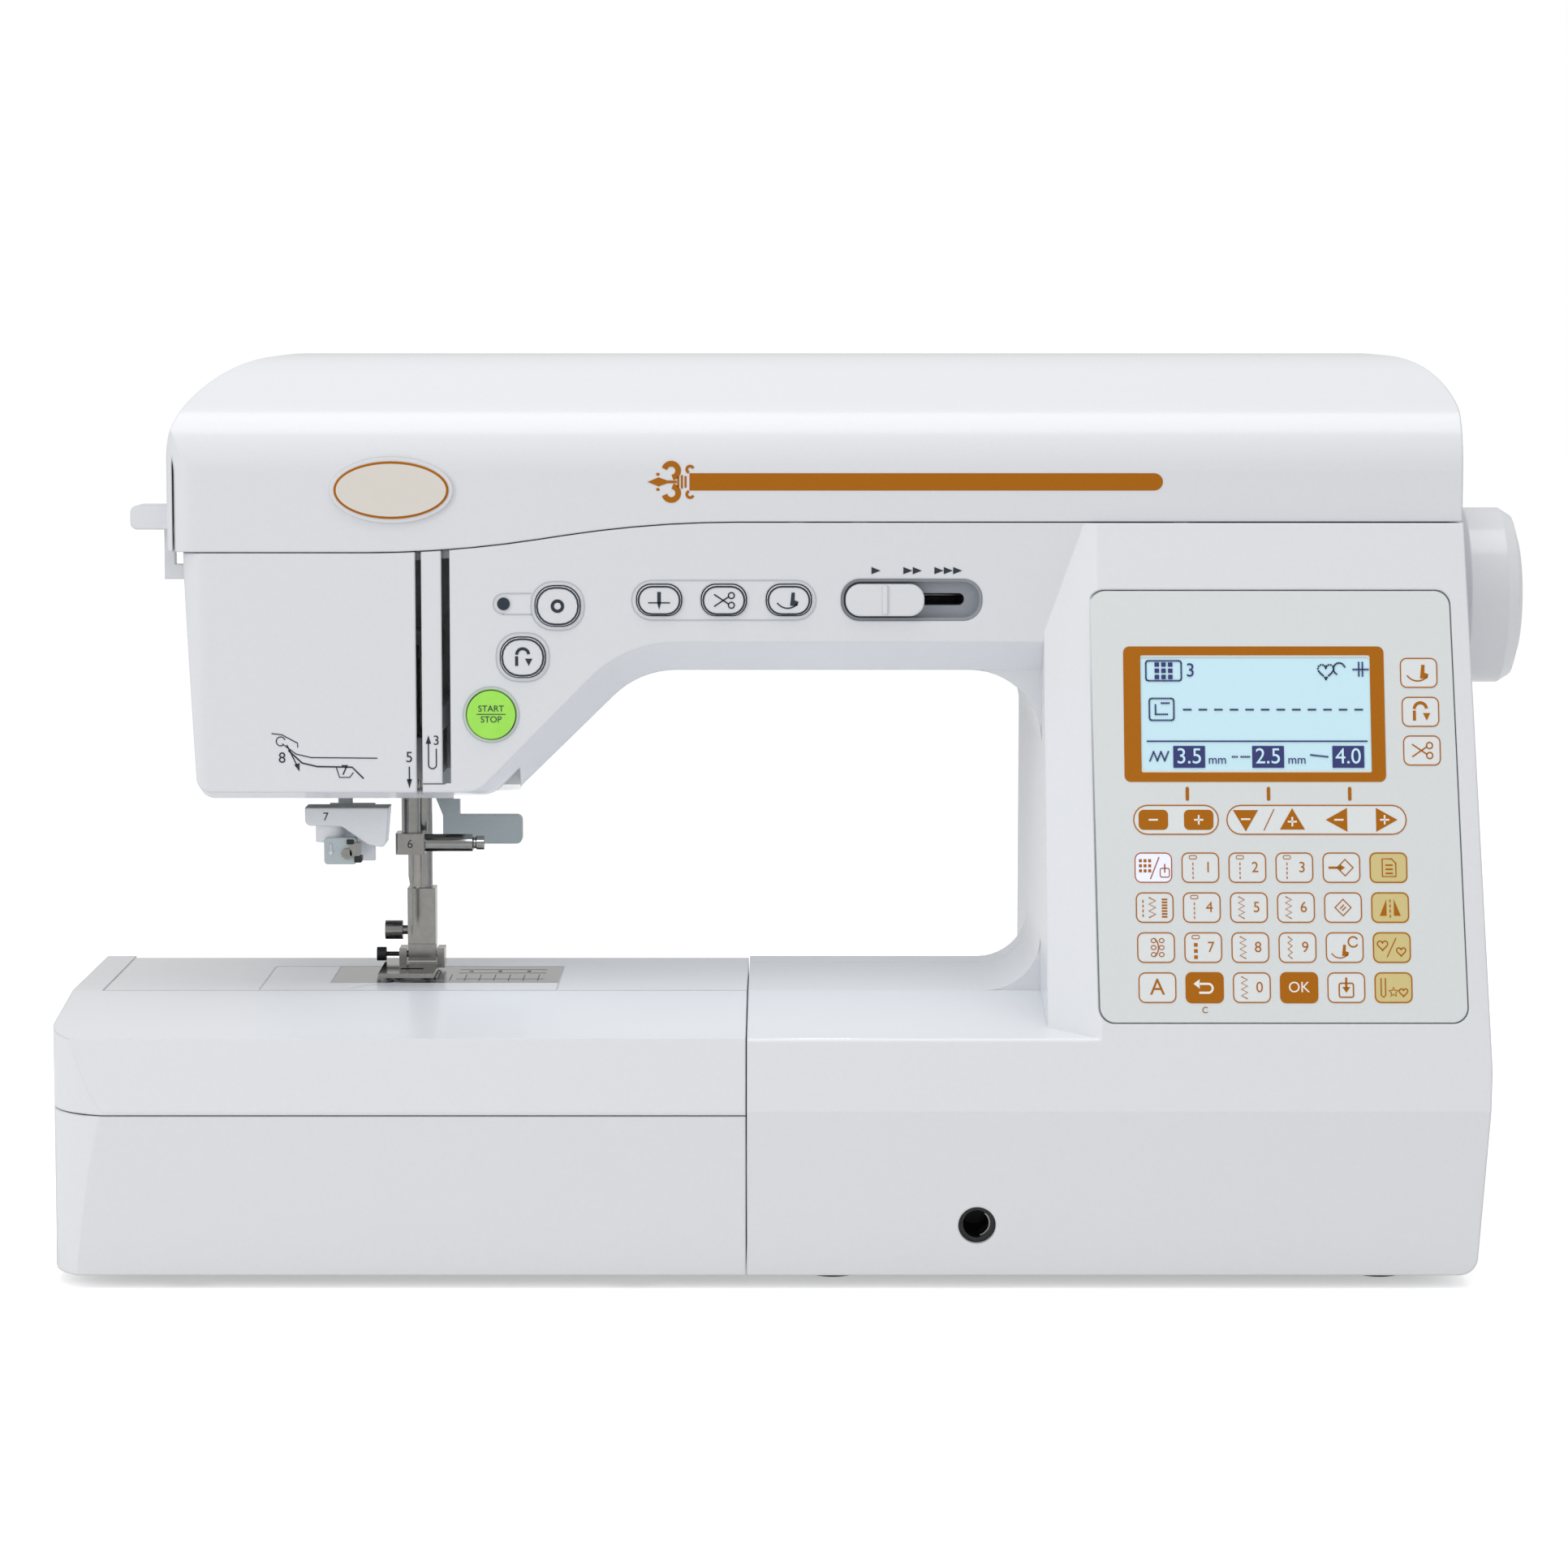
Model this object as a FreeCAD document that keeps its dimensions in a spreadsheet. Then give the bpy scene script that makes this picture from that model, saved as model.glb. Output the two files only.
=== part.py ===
"""Free-arm sewing machine with a wide throat: casing, lid, accessory tray, needle head and drive train."""

import FreeCAD
import Part
import Sketcher
import math
import os
import re

doc = FreeCAD.newDocument("sewing_machine")
sheet = doc.addObject("Spreadsheet::Sheet", "Dims")

# Driving dimensions in millimetres. X runs to the handwheel, Y to the back, Z up from the table.
DIMENSIONS = {
    "wall": 3,  # casing wall
    "gap": 0.4,  # clearance between separate pieces
    "foot_height": 4.5,  # rubber foot below the casing
    "crease_height": 59,  # front crease of the base
    "crease_y": -110,  # foremost line of the machine
    "skirt_bottom_y": -105,
    "bed_height": 89,  # top of the free arm above the table
    "bed_drop": 7,  # fall of the bed towards its front edge
    "bed_seam_y": -44,  # seam between free arm and tray
    "bed_back_y": 38,
    "rear_deck": 60,  # height of the base behind the bed
    "base_back_y": 110,
    "back_y": 105,
    "face_y": -55,  # front face of the arm
    "seam_low": 236.4,  # lid seam over the needle
    "seam_high": 246.5,  # lid seam over the arm
    "seam_start_x": -116,
    "seam_end_x": -50,
    "seam_round": 380,
    "head_left": -205.5,
    "head_left_low": -201,
    "head_bottom": 154,
    "head_round": 5,
    "slant_low_x": -98,
    "slant_high_x": -54,
    "slant_round": 30,
    "arm_bottom": 197,
    "throat_bevel": 10,
    "ramp_width": 12.6,  # slope beside the column face, along X
    "ramp_depth": 17,
    "throat_x": 80,  # right wall of the throat
    "throat_round": 24,
    "bed_round": 18,
    "base_left": -245,
    "base_right": 223,
    "base_right_low": 219,
    "column_right_top": 218,
    "column_side_height": 72,
    "panel_top_y": -58,  # face of the column under the lid
    "bottom_round": 6,
    "split_y": 22,  # joint between front and rear cover
    "tray_split_x": -18,
    "slit_left": -128,
    "strip_left": -126,
    "strip_right": -119.4,
    "slit_right": -116.6,
    "slit_bottom": 160,
    "lid_left": -211,
    "lid_right": 218,
    "lid_top": 301,
    "lid_shoulder": 279,  # start of the curve at the front of the lid
    "lid_crown_y": -8,  # where the curve reaches the top
    "lid_left_round": 36,
    "lid_right_round": 20,
    "lid_corner_round": 10,
    "hinge_y": 106.5,
    "hinge_radius": 1.8,
    "shaft_y": 8,
    "shaft_height": 218.8,
    "shaft_radius": 5,
    "bush_length": 12,
    "fit": 0.05,  # radial clearance of a running fit
    "wheel_radius": 30,
    "wheel_start": 222.5,
    "wheel_end": 245,
    "row_height": 221,  # middle of the control row above the table
    "needle_button_x": -47.3,
    "cutter_button_x": -25.9,
    "foot_lift_button_x": -4.4,
    "lock_button_x": -80.9,
    "lock_button_height": 219,
    "reverse_button_x": -92.5,
    "reverse_button_height": 202,
    "start_button_x": -103.1,
    "start_button_height": 182.9,
    "needle_x": -133.3,
    "needle_y": -14,
    "needle_bar_radius": 3.2,
    "needle_bar_high": 203,
    "needle_tip": 103,
    "presser_x": -131,
    "presser_y": 4,
    "presser_bar_radius": 3.6,
    "presser_bar_low": 112,
    "presser_bar_high": 204,
    "plate_left": -182.5,
    "plate_right": -82.5,
    "plate_back_y": 12,
    "plate_joint_x": -160,
    "plate_thick": 1.6,
    "frame_front_y": 16,
    "frame_back_y": 32,
    "panel_left_top": 94.5,
    "panel_left_low": 96.5,
    "panel_right_top": 212.5,
    "panel_right_low": 215.5,
    "panel_low": 87,
    "panel_high": 224.5,
    "panel_thick": 2,
    "panel_round": 5,
    "screen_left": 110,
    "screen_right": 186,
    "screen_low": 167,
    "screen_high": 203,
    "button_travel": 1.2,
    "button_proud": 1,
    "pill_width": 14.5,
    "pill_height": 10,
    "oval_height": 13,
    "start_radius": 8,
    "track_left": 12.8,
    "track_right": 59.7,
    "track_height": 14,
    "slider_width": 26,
    "knee_x": 56.6,
    "knee_height": 21.3,
    "knee_radius": 6.1,
    "bracket_low": 158,
    "bracket_high": 172,
    "hinge_height": 250.4,  # lid hinge above the table
    "hinge_left_x": 10,
    "hinge_right_x": 150,
    "knuckle_radius": 3.5,
    "knuckle_half": 9,
    "ear_width": 4.6,
    "head_corner_round": 8,
    "lid_flat_y": 70,
    "beam_low": 34,
    "beam_high": 60,
    "frame_left": -150,
    "post_left": 96,
    "post_right": 134,
    "beam_top": 232,
    "beam_under": 207,
    "clamp_low": 131.8,
    "clamp_high": 139,
    "clamp_half": 5,
    "needle_radius": 0.8,
    "foot_low": 90.4,
    "foot_toe_y": -26,
    "foot_heel_y": 12,
    "foot_left": -144,
    "foot_right": -125,
    "ankle_half": 4.8,
    "ankle_low": 92.6,
    "ankle_high": 118,
    "foot_pin_radius": 1.2,
    "foot_pin_height": 94.6,
    "lever_radius": 5,
    "lever_height": 134.6,
    "lever_end": -98,
    "lever_pivot_height": 163,
    "threader_y": -26,
    "threader_lever_y": -20.5,
    "threader_guide_x": -190,
    "guide_radius": 2,
    "stem_low": 226,
    "knob_low": 243,
    "knob_height": 8,
    "knob_length": 14.5,
    "knob_width": 17,
    "feet_radius": 9,
    "free_arm_left": -234.5,
    "free_arm_low": 28,
    "free_arm_round": 5,
    "door_back_y": -92,
    "tray_wall": 2.6,
    "lid_wall": 2.6,
    "lid_front_round": 24,
    "lid_crown_round": 60,
    "lid_back_height": 284,
    "lug_width": 10,
    "lug_left_x": -205,
    "lug_right_x": -60,
    "door_pin_radius": 1.5,
    "tray_round": 26,
    "tray_seam": 58,
    "door_hinge_y": -98,
    "door_hinge_height": 10,
}

for row, (alias, number) in enumerate(DIMENSIONS.items(), start=1):
    sheet.set(f"A{row}", alias)
    sheet.set(f"B{row}", str(number))
    sheet.setAlias(f"B{row}", alias)
doc.recompute()

NODES = {}
AXIS_TURN = {
    "Z": FreeCAD.Rotation(),
    "X": FreeCAD.Rotation(FreeCAD.Vector(0, 1, 0), 90),
    "Y": FreeCAD.Rotation(FreeCAD.Vector(1, 0, 0), -90),
}


def bound(text):
    """An expression on the sheet: every alias in the text becomes a cell reference."""
    return re.sub(r"[a-z][a-z_]*", lambda m: f"Dims.{m[0]}" if m[0] in DIMENSIONS else m[0], str(text))


def size(text):
    """The number that an expression gives now."""
    return float(sheet.evalExpression(bound(text)))


def node(name, obj):
    """Marks obj as a finished piece of that name."""
    obj.Label = name
    NODES[name] = obj
    return obj


def place(obj, centre, axis="Z"):
    """Turns obj from Z to the axis and binds its origin to the three expressions."""
    obj.Placement = FreeCAD.Placement(FreeCAD.Vector(), AXIS_TURN[axis])
    for letter, text in zip("xyz", centre):
        obj.setExpression(f"Placement.Base.{letter}", bound(text))
    return obj


def origin_plane(body, role):
    return [f for f in body.Origin.OriginFeatures if f.Role == role][0]


def outline_sketch(body, name, plane, outline):
    """A closed polygon whose corners are held by dimensions bound to the sheet."""
    sketch = body.newObject("Sketcher::SketchObject", name)
    sketch.AttachmentSupport = [(origin_plane(body, plane), "")]
    sketch.MapMode = "FlatFace"
    corners = [FreeCAD.Vector(size(u), size(v), 0) for u, v in outline]
    count = len(corners)
    for i in range(count):
        sketch.addGeometry(Part.LineSegment(corners[i], corners[(i + 1) % count]), False)
    for i in range(count):
        sketch.addConstraint(Sketcher.Constraint("Coincident", i, 2, (i + 1) % count, 1))
    for i, corner in enumerate(outline):
        for kind, text, now in zip(("DistanceX", "DistanceY"), corner, corners[i][:2]):
            k = sketch.addConstraint(Sketcher.Constraint(kind, -1, 1, i, 1, now))
            sketch.setExpression(f"Constraints[{k}]", bound(text))
    return sketch


def prism(name, plane, outline, low, high, rounds=None):
    """A polygon padded square to its plane from low to high, with some of its corners rounded."""
    body = doc.addObject("PartDesign::Body", name)
    sketch = outline_sketch(body, name + "_outline", plane, outline)
    start = f"-({bound(high)})" if plane == "XZ_Plane" else bound(low)
    sketch.setExpression("AttachmentOffset.Base.z", start)
    pad = body.newObject("PartDesign::Pad", name + "_pad")
    pad.Profile = sketch
    pad.setExpression("Length", f"{bound(high)} - ({bound(low)})")
    doc.recompute()
    pick = {"XY_Plane": (0, 1), "XZ_Plane": (0, 2), "YZ_Plane": (1, 2)}[plane]
    feature = pad
    for number, (corner, radius) in enumerate((rounds or {}).items()):
        u, v = (size(text) for text in outline[corner])
        edges = [
            f"Edge{i}"
            for i, e in enumerate(feature.Shape.Edges, start=1)
            if all(abs(p.Point[pick[0]] - u) + abs(p.Point[pick[1]] - v) < 0.01 for p in e.Vertexes)
        ]
        fillet = body.newObject("PartDesign::Fillet", f"{name}_round_{number}")
        fillet.Base = (feature, edges)
        fillet.setExpression("Radius", bound(radius))
        doc.recompute()
        feature = fillet
    return body


def turned(name, profile, centre, axis="Z"):
    """A piece turned from a half profile of (radius, height) corners, standing on centre."""
    body = doc.addObject("PartDesign::Body", name)
    sketch = outline_sketch(body, name + "_profile", "XZ_Plane", profile)
    spin = body.newObject("PartDesign::Revolution", name + "_turning")
    spin.Profile = sketch
    spin.ReferenceAxis = (sketch, ["V_Axis"])
    spin.Angle = 360
    return place(body, centre, axis)


def rod(name, radius, length, start, axis="Z"):
    """A round bar from start along the axis."""
    bar = doc.addObject("Part::Cylinder", name)
    bar.setExpression("Radius", bound(radius))
    bar.setExpression("Height", bound(length))
    return place(bar, start, axis)


def block(name, low, high):
    """A box between two corners given as expressions."""
    box = doc.addObject("Part::Box", name)
    for side, a, b in zip(("Length", "Width", "Height"), low, high):
        box.setExpression(side, f"{bound(b)} - ({bound(a)})")
    return place(box, low)


def fuse(name, *pieces):
    joined = doc.addObject("Part::MultiFuse", name)
    joined.Shapes = list(pieces)
    joined.Refine = True
    return joined


def cut(name, base, *tools):
    tool = tools[0] if len(tools) == 1 else fuse(name + "_tools", *tools)
    result = doc.addObject("Part::Cut", name)
    result.Base = base
    result.Tool = tool
    result.Refine = True
    return result


def common(name, a, b):
    both = doc.addObject("Part::MultiCommon", name)
    both.Shapes = [a, b]
    both.Refine = True
    return both


def group(name, *pieces):
    """Several separate solids under one name."""
    bundle = doc.addObject("Part::Compound", name)
    bundle.Links = list(pieces)
    return bundle


def soften(name, obj, radius, wanted, kind="Part::Fillet"):
    """Rounds or bevels the edges that the test picks."""
    doc.recompute()
    amount = size(radius)
    softened = doc.addObject(kind, name)
    softened.Base = obj
    softened.Edges = [(i, amount, amount) for i, e in enumerate(obj.Shape.Edges, start=1) if wanted(e)]
    return softened


def along(edge, axis, tolerance=1e-3):
    """True for a straight edge that runs along an axis, 0 to 2."""
    if not isinstance(edge.Curve, Part.Line):
        return False
    return abs(abs(edge.Curve.Direction[axis]) - 1) < tolerance


def at(edge, axis, text, tolerance=0.05):
    """True for an edge whose middle lies at that place on an axis."""
    return abs(edge.BoundBox.Center[axis] - size(text)) < tolerance


# Lean of the column's front face, shared by the column, the base and the control panel.
LEAN = "(panel_top_y - crease_y) / (seam_high - crease_height)"
BED_FRONT_Y = f"crease_y + (bed_height - bed_drop - crease_height) * {LEAN}"
BED_FRONT = "bed_height - bed_drop"


def lean_y(height):
    """Place of the column's front face at that height."""
    return f"crease_y + ({height} - crease_height) * {LEAN}"


# Casing: arm, column and base as one hollow form, then split into its covers.
def arm_form(name, inset, low_inset, front, back, top_drop):
    """The arm and head seen from the front, drawn in by inset, or low_inset underneath."""
    outline = [
        (f"head_left + {inset}", f"seam_low - {top_drop}"),
        (f"head_left_low + {inset}", f"head_bottom + {inset}"),
        (f"slant_low_x - {low_inset}", f"head_bottom + {inset}"),
        (f"slant_high_x - {low_inset}", f"arm_bottom + {low_inset}"),
        (f"column_right_top - {inset}", f"arm_bottom + {low_inset}"),
        (f"column_right_top - {inset}", f"seam_high - {top_drop}"),
        ("seam_end_x", f"seam_high - {top_drop}"),
        ("seam_start_x", f"seam_low - {top_drop}"),
    ]
    rounds = {1: "head_round", 2: "head_round * 2", 3: "slant_round", 6: "seam_round", 7: "seam_round"}
    return prism(name, "XZ_Plane", outline, front, back, rounds)


def column_form(name, inset, left, right_inset, top):
    """The column: its side profile crossed with its front outline."""
    side = [
        (f"panel_top_y + {inset}", top),
        (f"crease_y + {inset}", "crease_height"),
        (f"skirt_bottom_y + {inset}", f"foot_height + {inset}"),
        (f"base_back_y - {inset}", f"foot_height + {inset}"),
        (f"base_back_y - {inset}", "rear_deck"),
        (f"back_y - {inset}", top),
    ]
    front = [
        (left, f"foot_height + {inset}"),
        (f"base_right_low - {right_inset}", f"foot_height + {inset}"),
        (f"base_right - {right_inset}", "column_side_height"),
        (f"column_right_top - {right_inset}", top),
        (left, top),
    ]
    profile = prism(name + "_side", "YZ_Plane", side, left, "base_right")
    face = prism(name + "_front", "XZ_Plane", front, "crease_y", "base_back_y", {1: "bottom_round"})
    return common(name, profile, face)


def base_form(name, inset, left, right):
    """The base under the bed, with its creased front skirt."""
    side = [
        (f"skirt_bottom_y + {inset}", f"foot_height + {inset}"),
        (f"crease_y + {inset}", "crease_height"),
        (f"{BED_FRONT_Y} + {inset}", f"{BED_FRONT} - {inset}"),
        ("bed_seam_y", f"bed_height - {inset}"),
        (f"bed_back_y - {inset}", f"bed_height - {inset}"),
        (f"bed_back_y - {inset}", f"rear_deck - {inset}"),
        (f"base_back_y - {inset}", f"rear_deck - {inset}"),
        (f"base_back_y - {inset}", f"foot_height + {inset}"),
    ]
    return prism(name, "YZ_Plane", side, left, right, {2: "gap * 5"} if inset == "0" else None)


def corner_fill(name, radius, floor, side, front, back):
    """Fills the corner of the throat against the column, up (1) or down (-1) from floor, with a round."""
    box = block(
        name + "_box",
        (f"throat_x - {radius}", front, f"{floor} - {radius} * {(1 - side) // 2}"),
        ("throat_x + gap", back, f"{floor} + {radius} * {(1 + side) // 2}"),
    )
    bore = rod(
        name + "_bore", radius, f"{back} - ({front}) + 2",
        (f"throat_x - {radius}", f"{front} - 1", f"{floor} + {side} * {radius}"), "Y",
    )
    return cut(name, box, bore)


column_block = column_form("column_block", "0", "throat_x", "0", "seam_high")
doc.recompute()
ramp = doc.addObject("Part::Chamfer", "column_ramp")
ramp.Base = column_block
ramp.Edges = [
    (i, size("ramp_depth"), size("ramp_width"))
    for i, e in enumerate(column_block.Shape.Edges, start=1)
    if at(e, 0, "throat_x") and e.BoundBox.ZLength > size("seam_high - crease_height") - 1
    and e.BoundBox.YMin < size("crease_y") + 1
]
def rounded_wire(corners, y):
    """A closed outline in the XZ plane at y, from (x, z, radius) corners."""
    edges = []
    ends = []
    count = len(corners)
    points = [FreeCAD.Vector(x, y, z) for x, z, _ in corners]
    for i, (_, _, radius) in enumerate(corners):
        before = (points[i - 1] - points[i]).normalize()
        after = (points[(i + 1) % count] - points[i]).normalize()
        half_turn = before.getAngle(after) / 2
        reach = radius / math.tan(half_turn)
        middle = points[i] + (before + after).normalize() * (radius / math.sin(half_turn) - radius)
        ends.append((points[i] + before * reach, middle, points[i] + after * reach, radius))
    for i, (start, middle, stop, radius) in enumerate(ends):
        if radius:
            edges.append(Part.Arc(start, middle, stop).toShape())
        edges.append(Part.LineSegment(stop, ends[(i + 1) % count][0]).toShape())
    return Part.Wire(edges)


def arm_corners(bevel):
    """The arm's outline, with its lower edge drawn up by the bevel."""
    up = size(bevel)
    return [
        (size("head_left"), size("seam_low"), 0),
        (size("head_left_low"), size("head_bottom") + up * 0.3, size("head_round")),
        (size("slant_low_x") - up, size("head_bottom") + up * 0.3, size("head_round * 2")),
        (size("slant_high_x") - up * 0.45, size("arm_bottom") + up, size("slant_round") + up),
        (size("column_right_top"), size("arm_bottom") + up, 0),
        (size("column_right_top"), size("seam_high"), 0),
        (size("seam_end_x"), size("seam_high"), size("seam_round")),
        (size("seam_start_x"), size("seam_low"), size("seam_round")),
    ]


arm_block = arm_form("arm_block", "0", "0", "face_y + throat_bevel", "back_y", "0")
arm_bevel = doc.addObject("Part::Feature", "arm_bevel")
arm_bevel.Shape = Part.makeLoft(
    [
        rounded_wire(arm_corners("throat_bevel"), size("face_y")),
        rounded_wire(arm_corners("0"), size("face_y + throat_bevel")),
    ],
    True,
    True,
)
base_block = base_form("base_block", "0", "tray_split_x", "throat_x + ramp_width + throat_round")
sharp_housing = fuse(
    "sharp_housing", arm_bevel, arm_block, ramp, base_block,
    corner_fill("upper_corner", "throat_round", "arm_bottom", -1, "face_y + throat_bevel", "back_y"),
    corner_fill("lower_corner", "bed_round", "bed_height", 1, "bed_seam_y", "bed_back_y"),
)


def corner_waste(name, left, radius, low, high):
    """What comes off an upright edge at the front left to round it."""
    edge = block(f"{name}_box", (f"{left} - 5", "face_y - 5", low),
                 (f"{left} + {radius}", f"face_y + {radius}", high))
    core = rod(f"{name}_core", radius, f"{high} - ({low}) + 4",
               (f"{left} + {radius}", f"face_y + {radius}", f"{low} - 2"))
    return cut(name, edge, core)


head_corner = corner_waste("head_corner", "head_left", "head_corner_round", "head_bottom - 5", "seam_high")
housing = cut("housing", sharp_housing, head_corner)

cavity = fuse(
    "cavity",
    arm_form("arm_cavity", "wall", "throat_bevel", "face_y + wall", "back_y - wall", "wall"),
    column_form("column_cavity", "wall", "throat_x + ramp_width + wall", "wall", "seam_high - wall"),
    base_form("base_cavity", "wall", "tray_split_x + wall", "throat_x + ramp_width + throat_round"),
)

# Holes that the casing needs: buttons, slider, panel, lamps, knee lever, handwheel and the needle gear.
ROW_Z = "row_height"
BUTTONS = {
    "needle_button": ("needle_button_x", ROW_Z, "pill_width", "pill_height"),
    "cutter_button": ("cutter_button_x", ROW_Z, "pill_width", "pill_height"),
    "foot_lift_button": ("foot_lift_button_x", ROW_Z, "pill_width", "pill_height"),
    "lock_stitch_button": ("lock_button_x", "lock_button_height", "pill_width", "oval_height"),
    "reverse_button": ("reverse_button_x", "reverse_button_height", "pill_width", "oval_height"),
}
START_X = "start_button_x"
START_Z = "start_button_height"


def capsule(name, x, z, width, height, front, back):
    """A bar along Y with a round-ended section."""
    corner = f"({height}) * 0.46"
    outline = [
        (f"{x} - ({width}) / 2", f"{z} - ({height}) / 2"),
        (f"{x} + ({width}) / 2", f"{z} - ({height}) / 2"),
        (f"{x} + ({width}) / 2", f"{z} + ({height}) / 2"),
        (f"{x} - ({width}) / 2", f"{z} + ({height}) / 2"),
    ]
    return prism(name, "XZ_Plane", outline, front, back, {i: corner for i in range(4)})


PANEL_OUTLINE = [
    ("panel_left_top", "panel_high"),
    ("panel_left_low", "panel_low"),
    ("panel_right_low", "panel_low"),
    ("panel_right_top", "panel_high"),
]


def panel_slice(name, grow, front, back, outline=PANEL_OUTLINE, rounds="panel_round"):
    """What a leaning slab, from front to back behind the column's face, keeps of an outline."""
    signs = ((-1, 1), (-1, -1), (1, -1), (1, 1))
    corners = [(f"{x} + {u} * ({grow})", f"{z} + {v} * ({grow})") for (x, z), (u, v) in zip(outline, signs)]
    face = prism(name + "_face", "XZ_Plane", corners, "crease_y - 5", "bed_back_y",
                 {i: rounds for i in range(4)})
    slab = prism(
        name + "_slab", "YZ_Plane",
        [
            (f"{lean_y('seam_high')} + {front}", "seam_high"),
            (f"crease_y + {front}", "crease_height"),
            (f"crease_y + {back}", "crease_height"),
            (f"{lean_y('seam_high')} + {back}", "seam_high"),
        ],
        "throat_x", "base_right",
    )
    return common(name, face, slab)


TRACK_Z = ROW_Z
openings = [
    capsule(f"{name}_hole", x, z, f"{w} + gap * 2", f"{h} + gap * 2", "face_y - 5", "face_y + wall + 5")
    for name, (x, z, w, h) in BUTTONS.items()
]
openings += [
    rod("start_hole", "start_radius + gap", "wall + 10", (START_X, "face_y - 5", START_Z), "Y"),
    capsule("track_hole", "(track_left + track_right) / 2", TRACK_Z, "track_right - track_left",
            "track_height",
            "face_y - 5", "face_y + wall + 5"),
    panel_slice("panel_pocket", "gap", "-5", "panel_thick"),
    panel_slice("panel_window", "0 - 8", "-5", "wall + 5"),
    rod("knee_hole", "knee_radius", "wall + 10", ("knee_x", "crease_y - 5", "knee_height"), "Y"),
    rod("shaft_hole", "shaft_radius + 3", "30",
        ("column_right_top - 15", "shaft_y", "shaft_height"), "X"),
    block("needle_gear_hole", ("-178", "-40", "head_bottom - 1"),
          ("slit_right", "frame_back_y + 10", "head_bottom + wall + 1")),
    block("lever_slot", ("head_left - 8", "threader_lever_y - 3.5", "bracket_high - 2"),
          ("head_left + wall + 6", "threader_lever_y + 3.5", "seam_low - wall - gap")),
    block("free_arm_window", ("tray_split_x - 1", "bed_seam_y + 8", "free_arm_low + 6"),
          ("tray_split_x + wall + 1", "bed_back_y - 6", "bed_height - 6")),
    block("left_slit", ("slit_left", "face_y - 1", "head_bottom - 1"),
          ("strip_left", "face_y + wall + 4", "seam_high")),
    block("right_slit", ("strip_right", "face_y - 1", "slit_bottom"),
          ("slit_right", "face_y + wall + 4", "seam_high")),
    block("strip_end_gap", ("strip_left - 1", "face_y - 1", "slit_bottom - gap"),
          ("strip_right + 1", "face_y + wall + 4", "slit_bottom")),
    block("head_lamp_hole", ("-116", "-50", "head_bottom - 1"), ("-94", "-30", "head_bottom + 16")),
    block("arm_lamp_hole", ("-4", "-38", "arm_bottom - 1"), ("20", "-22", "arm_bottom + throat_bevel + 1")),
    block("switch_hole", ("base_right - 12", "-42", "28"), ("base_right + 1", "-20", "42")),
    block("inlet_hole", ("base_right - 12", "-12", "26"), ("base_right + 1", "20", "44")),
    block("bottom_hole", ("tray_split_x + 18", "-88", "foot_height - 1"),
          ("base_right_low - 18", "base_back_y - 18", "foot_height + wall + 1")),
]
for number in range(9):
    openings.append(
        block(f"vent_{number}", (f"118 + {number} * 9", "base_back_y - wall - 12", "150"),
              (f"122 + {number} * 9", "base_back_y + 5", "190"))
    )
shell = cut("shell", housing, cavity, *openings)
front_half = block("front_half", ("base_left", "crease_y - 10", "0"),
                   ("base_right + 10", "split_y", "seam_high + 5"))
rear_half = block("rear_half", ("base_left", "split_y", "0"),
                  ("base_right + 10", "base_back_y + 10", "seam_high + 5"))
face_zone = block("face_zone", ("base_left", "crease_y", "head_bottom - 1"),
                  ("slit_left + 1", "split_y", "seam_high"))
strip_zone = block("strip_zone", ("strip_left - 0.5", "face_y - 1", "slit_bottom - gap / 2"),
                   ("strip_right + 0.5", "face_y + wall + 1", "seam_high"))
front_side = common("front_side", shell, front_half)
node("front_cover", cut("front_cover", front_side, face_zone, strip_zone))
node("rear_cover", common("rear_cover", shell, rear_half))
node("face_cover", common("face_cover", front_side, face_zone))
strip_web = block("strip_web", ("strip_left + 1", "face_y + wall - 0.5", "176"),
                  ("strip_right - 1", "frame_front_y", "184"))
node("thread_guide_plate",
     fuse("thread_guide_plate", common("strip_front", front_side, strip_zone), strip_web))


# Lid: a hollow shell that follows the arm's S-shaped seam and hinges at the back.
def lid_form(name, inset, low, seam_rounds):
    """The lid's front outline met by its side profile, drawn in by the inset and let down by low."""
    front = prism(
        name + "_front", "XZ_Plane",
        [
            (f"lid_left + {inset}", f"seam_low + gap - {low}"),
            (f"lid_left + {inset}", f"lid_top - {inset}"),
            (f"lid_right - {inset}", f"lid_top - {inset}"),
            (f"lid_right - {inset}", f"seam_high + gap - {low}"),
            ("seam_end_x", f"seam_high + gap - {low}"),
            ("seam_start_x", f"seam_low + gap - {low}"),
        ],
        "face_y - 5", "back_y + 5",
        {1: f"min(lid_left_round; (lid_top - seam_low) * 0.6) - {inset}",
         2: f"lid_right_round - {inset}"} | seam_rounds,
    )
    side = prism(
        name + "_side", "YZ_Plane",
        [
            (f"face_y + {inset}", f"seam_low - {low} - 1"),
            (f"face_y + {inset}", f"lid_shoulder - {inset} * 0.6"),
            ("lid_crown_y", f"lid_top - {inset}"),
            ("lid_flat_y", f"lid_top - {inset}"),
            (f"back_y - {inset}", f"lid_back_height - {inset} * 0.6"),
            (f"back_y - {inset}", f"seam_low - {low} - 1"),
        ],
        "lid_left - 5", "lid_right + 5",
        {1: "lid_front_round", 2: "lid_crown_round", 3: "lid_crown_round", 4: "lid_front_round"},
    )
    return common(name, front, side)


lid_outer = lid_form("lid_outer", "0", "0", {4: "seam_round", 5: "seam_round"})


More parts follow.
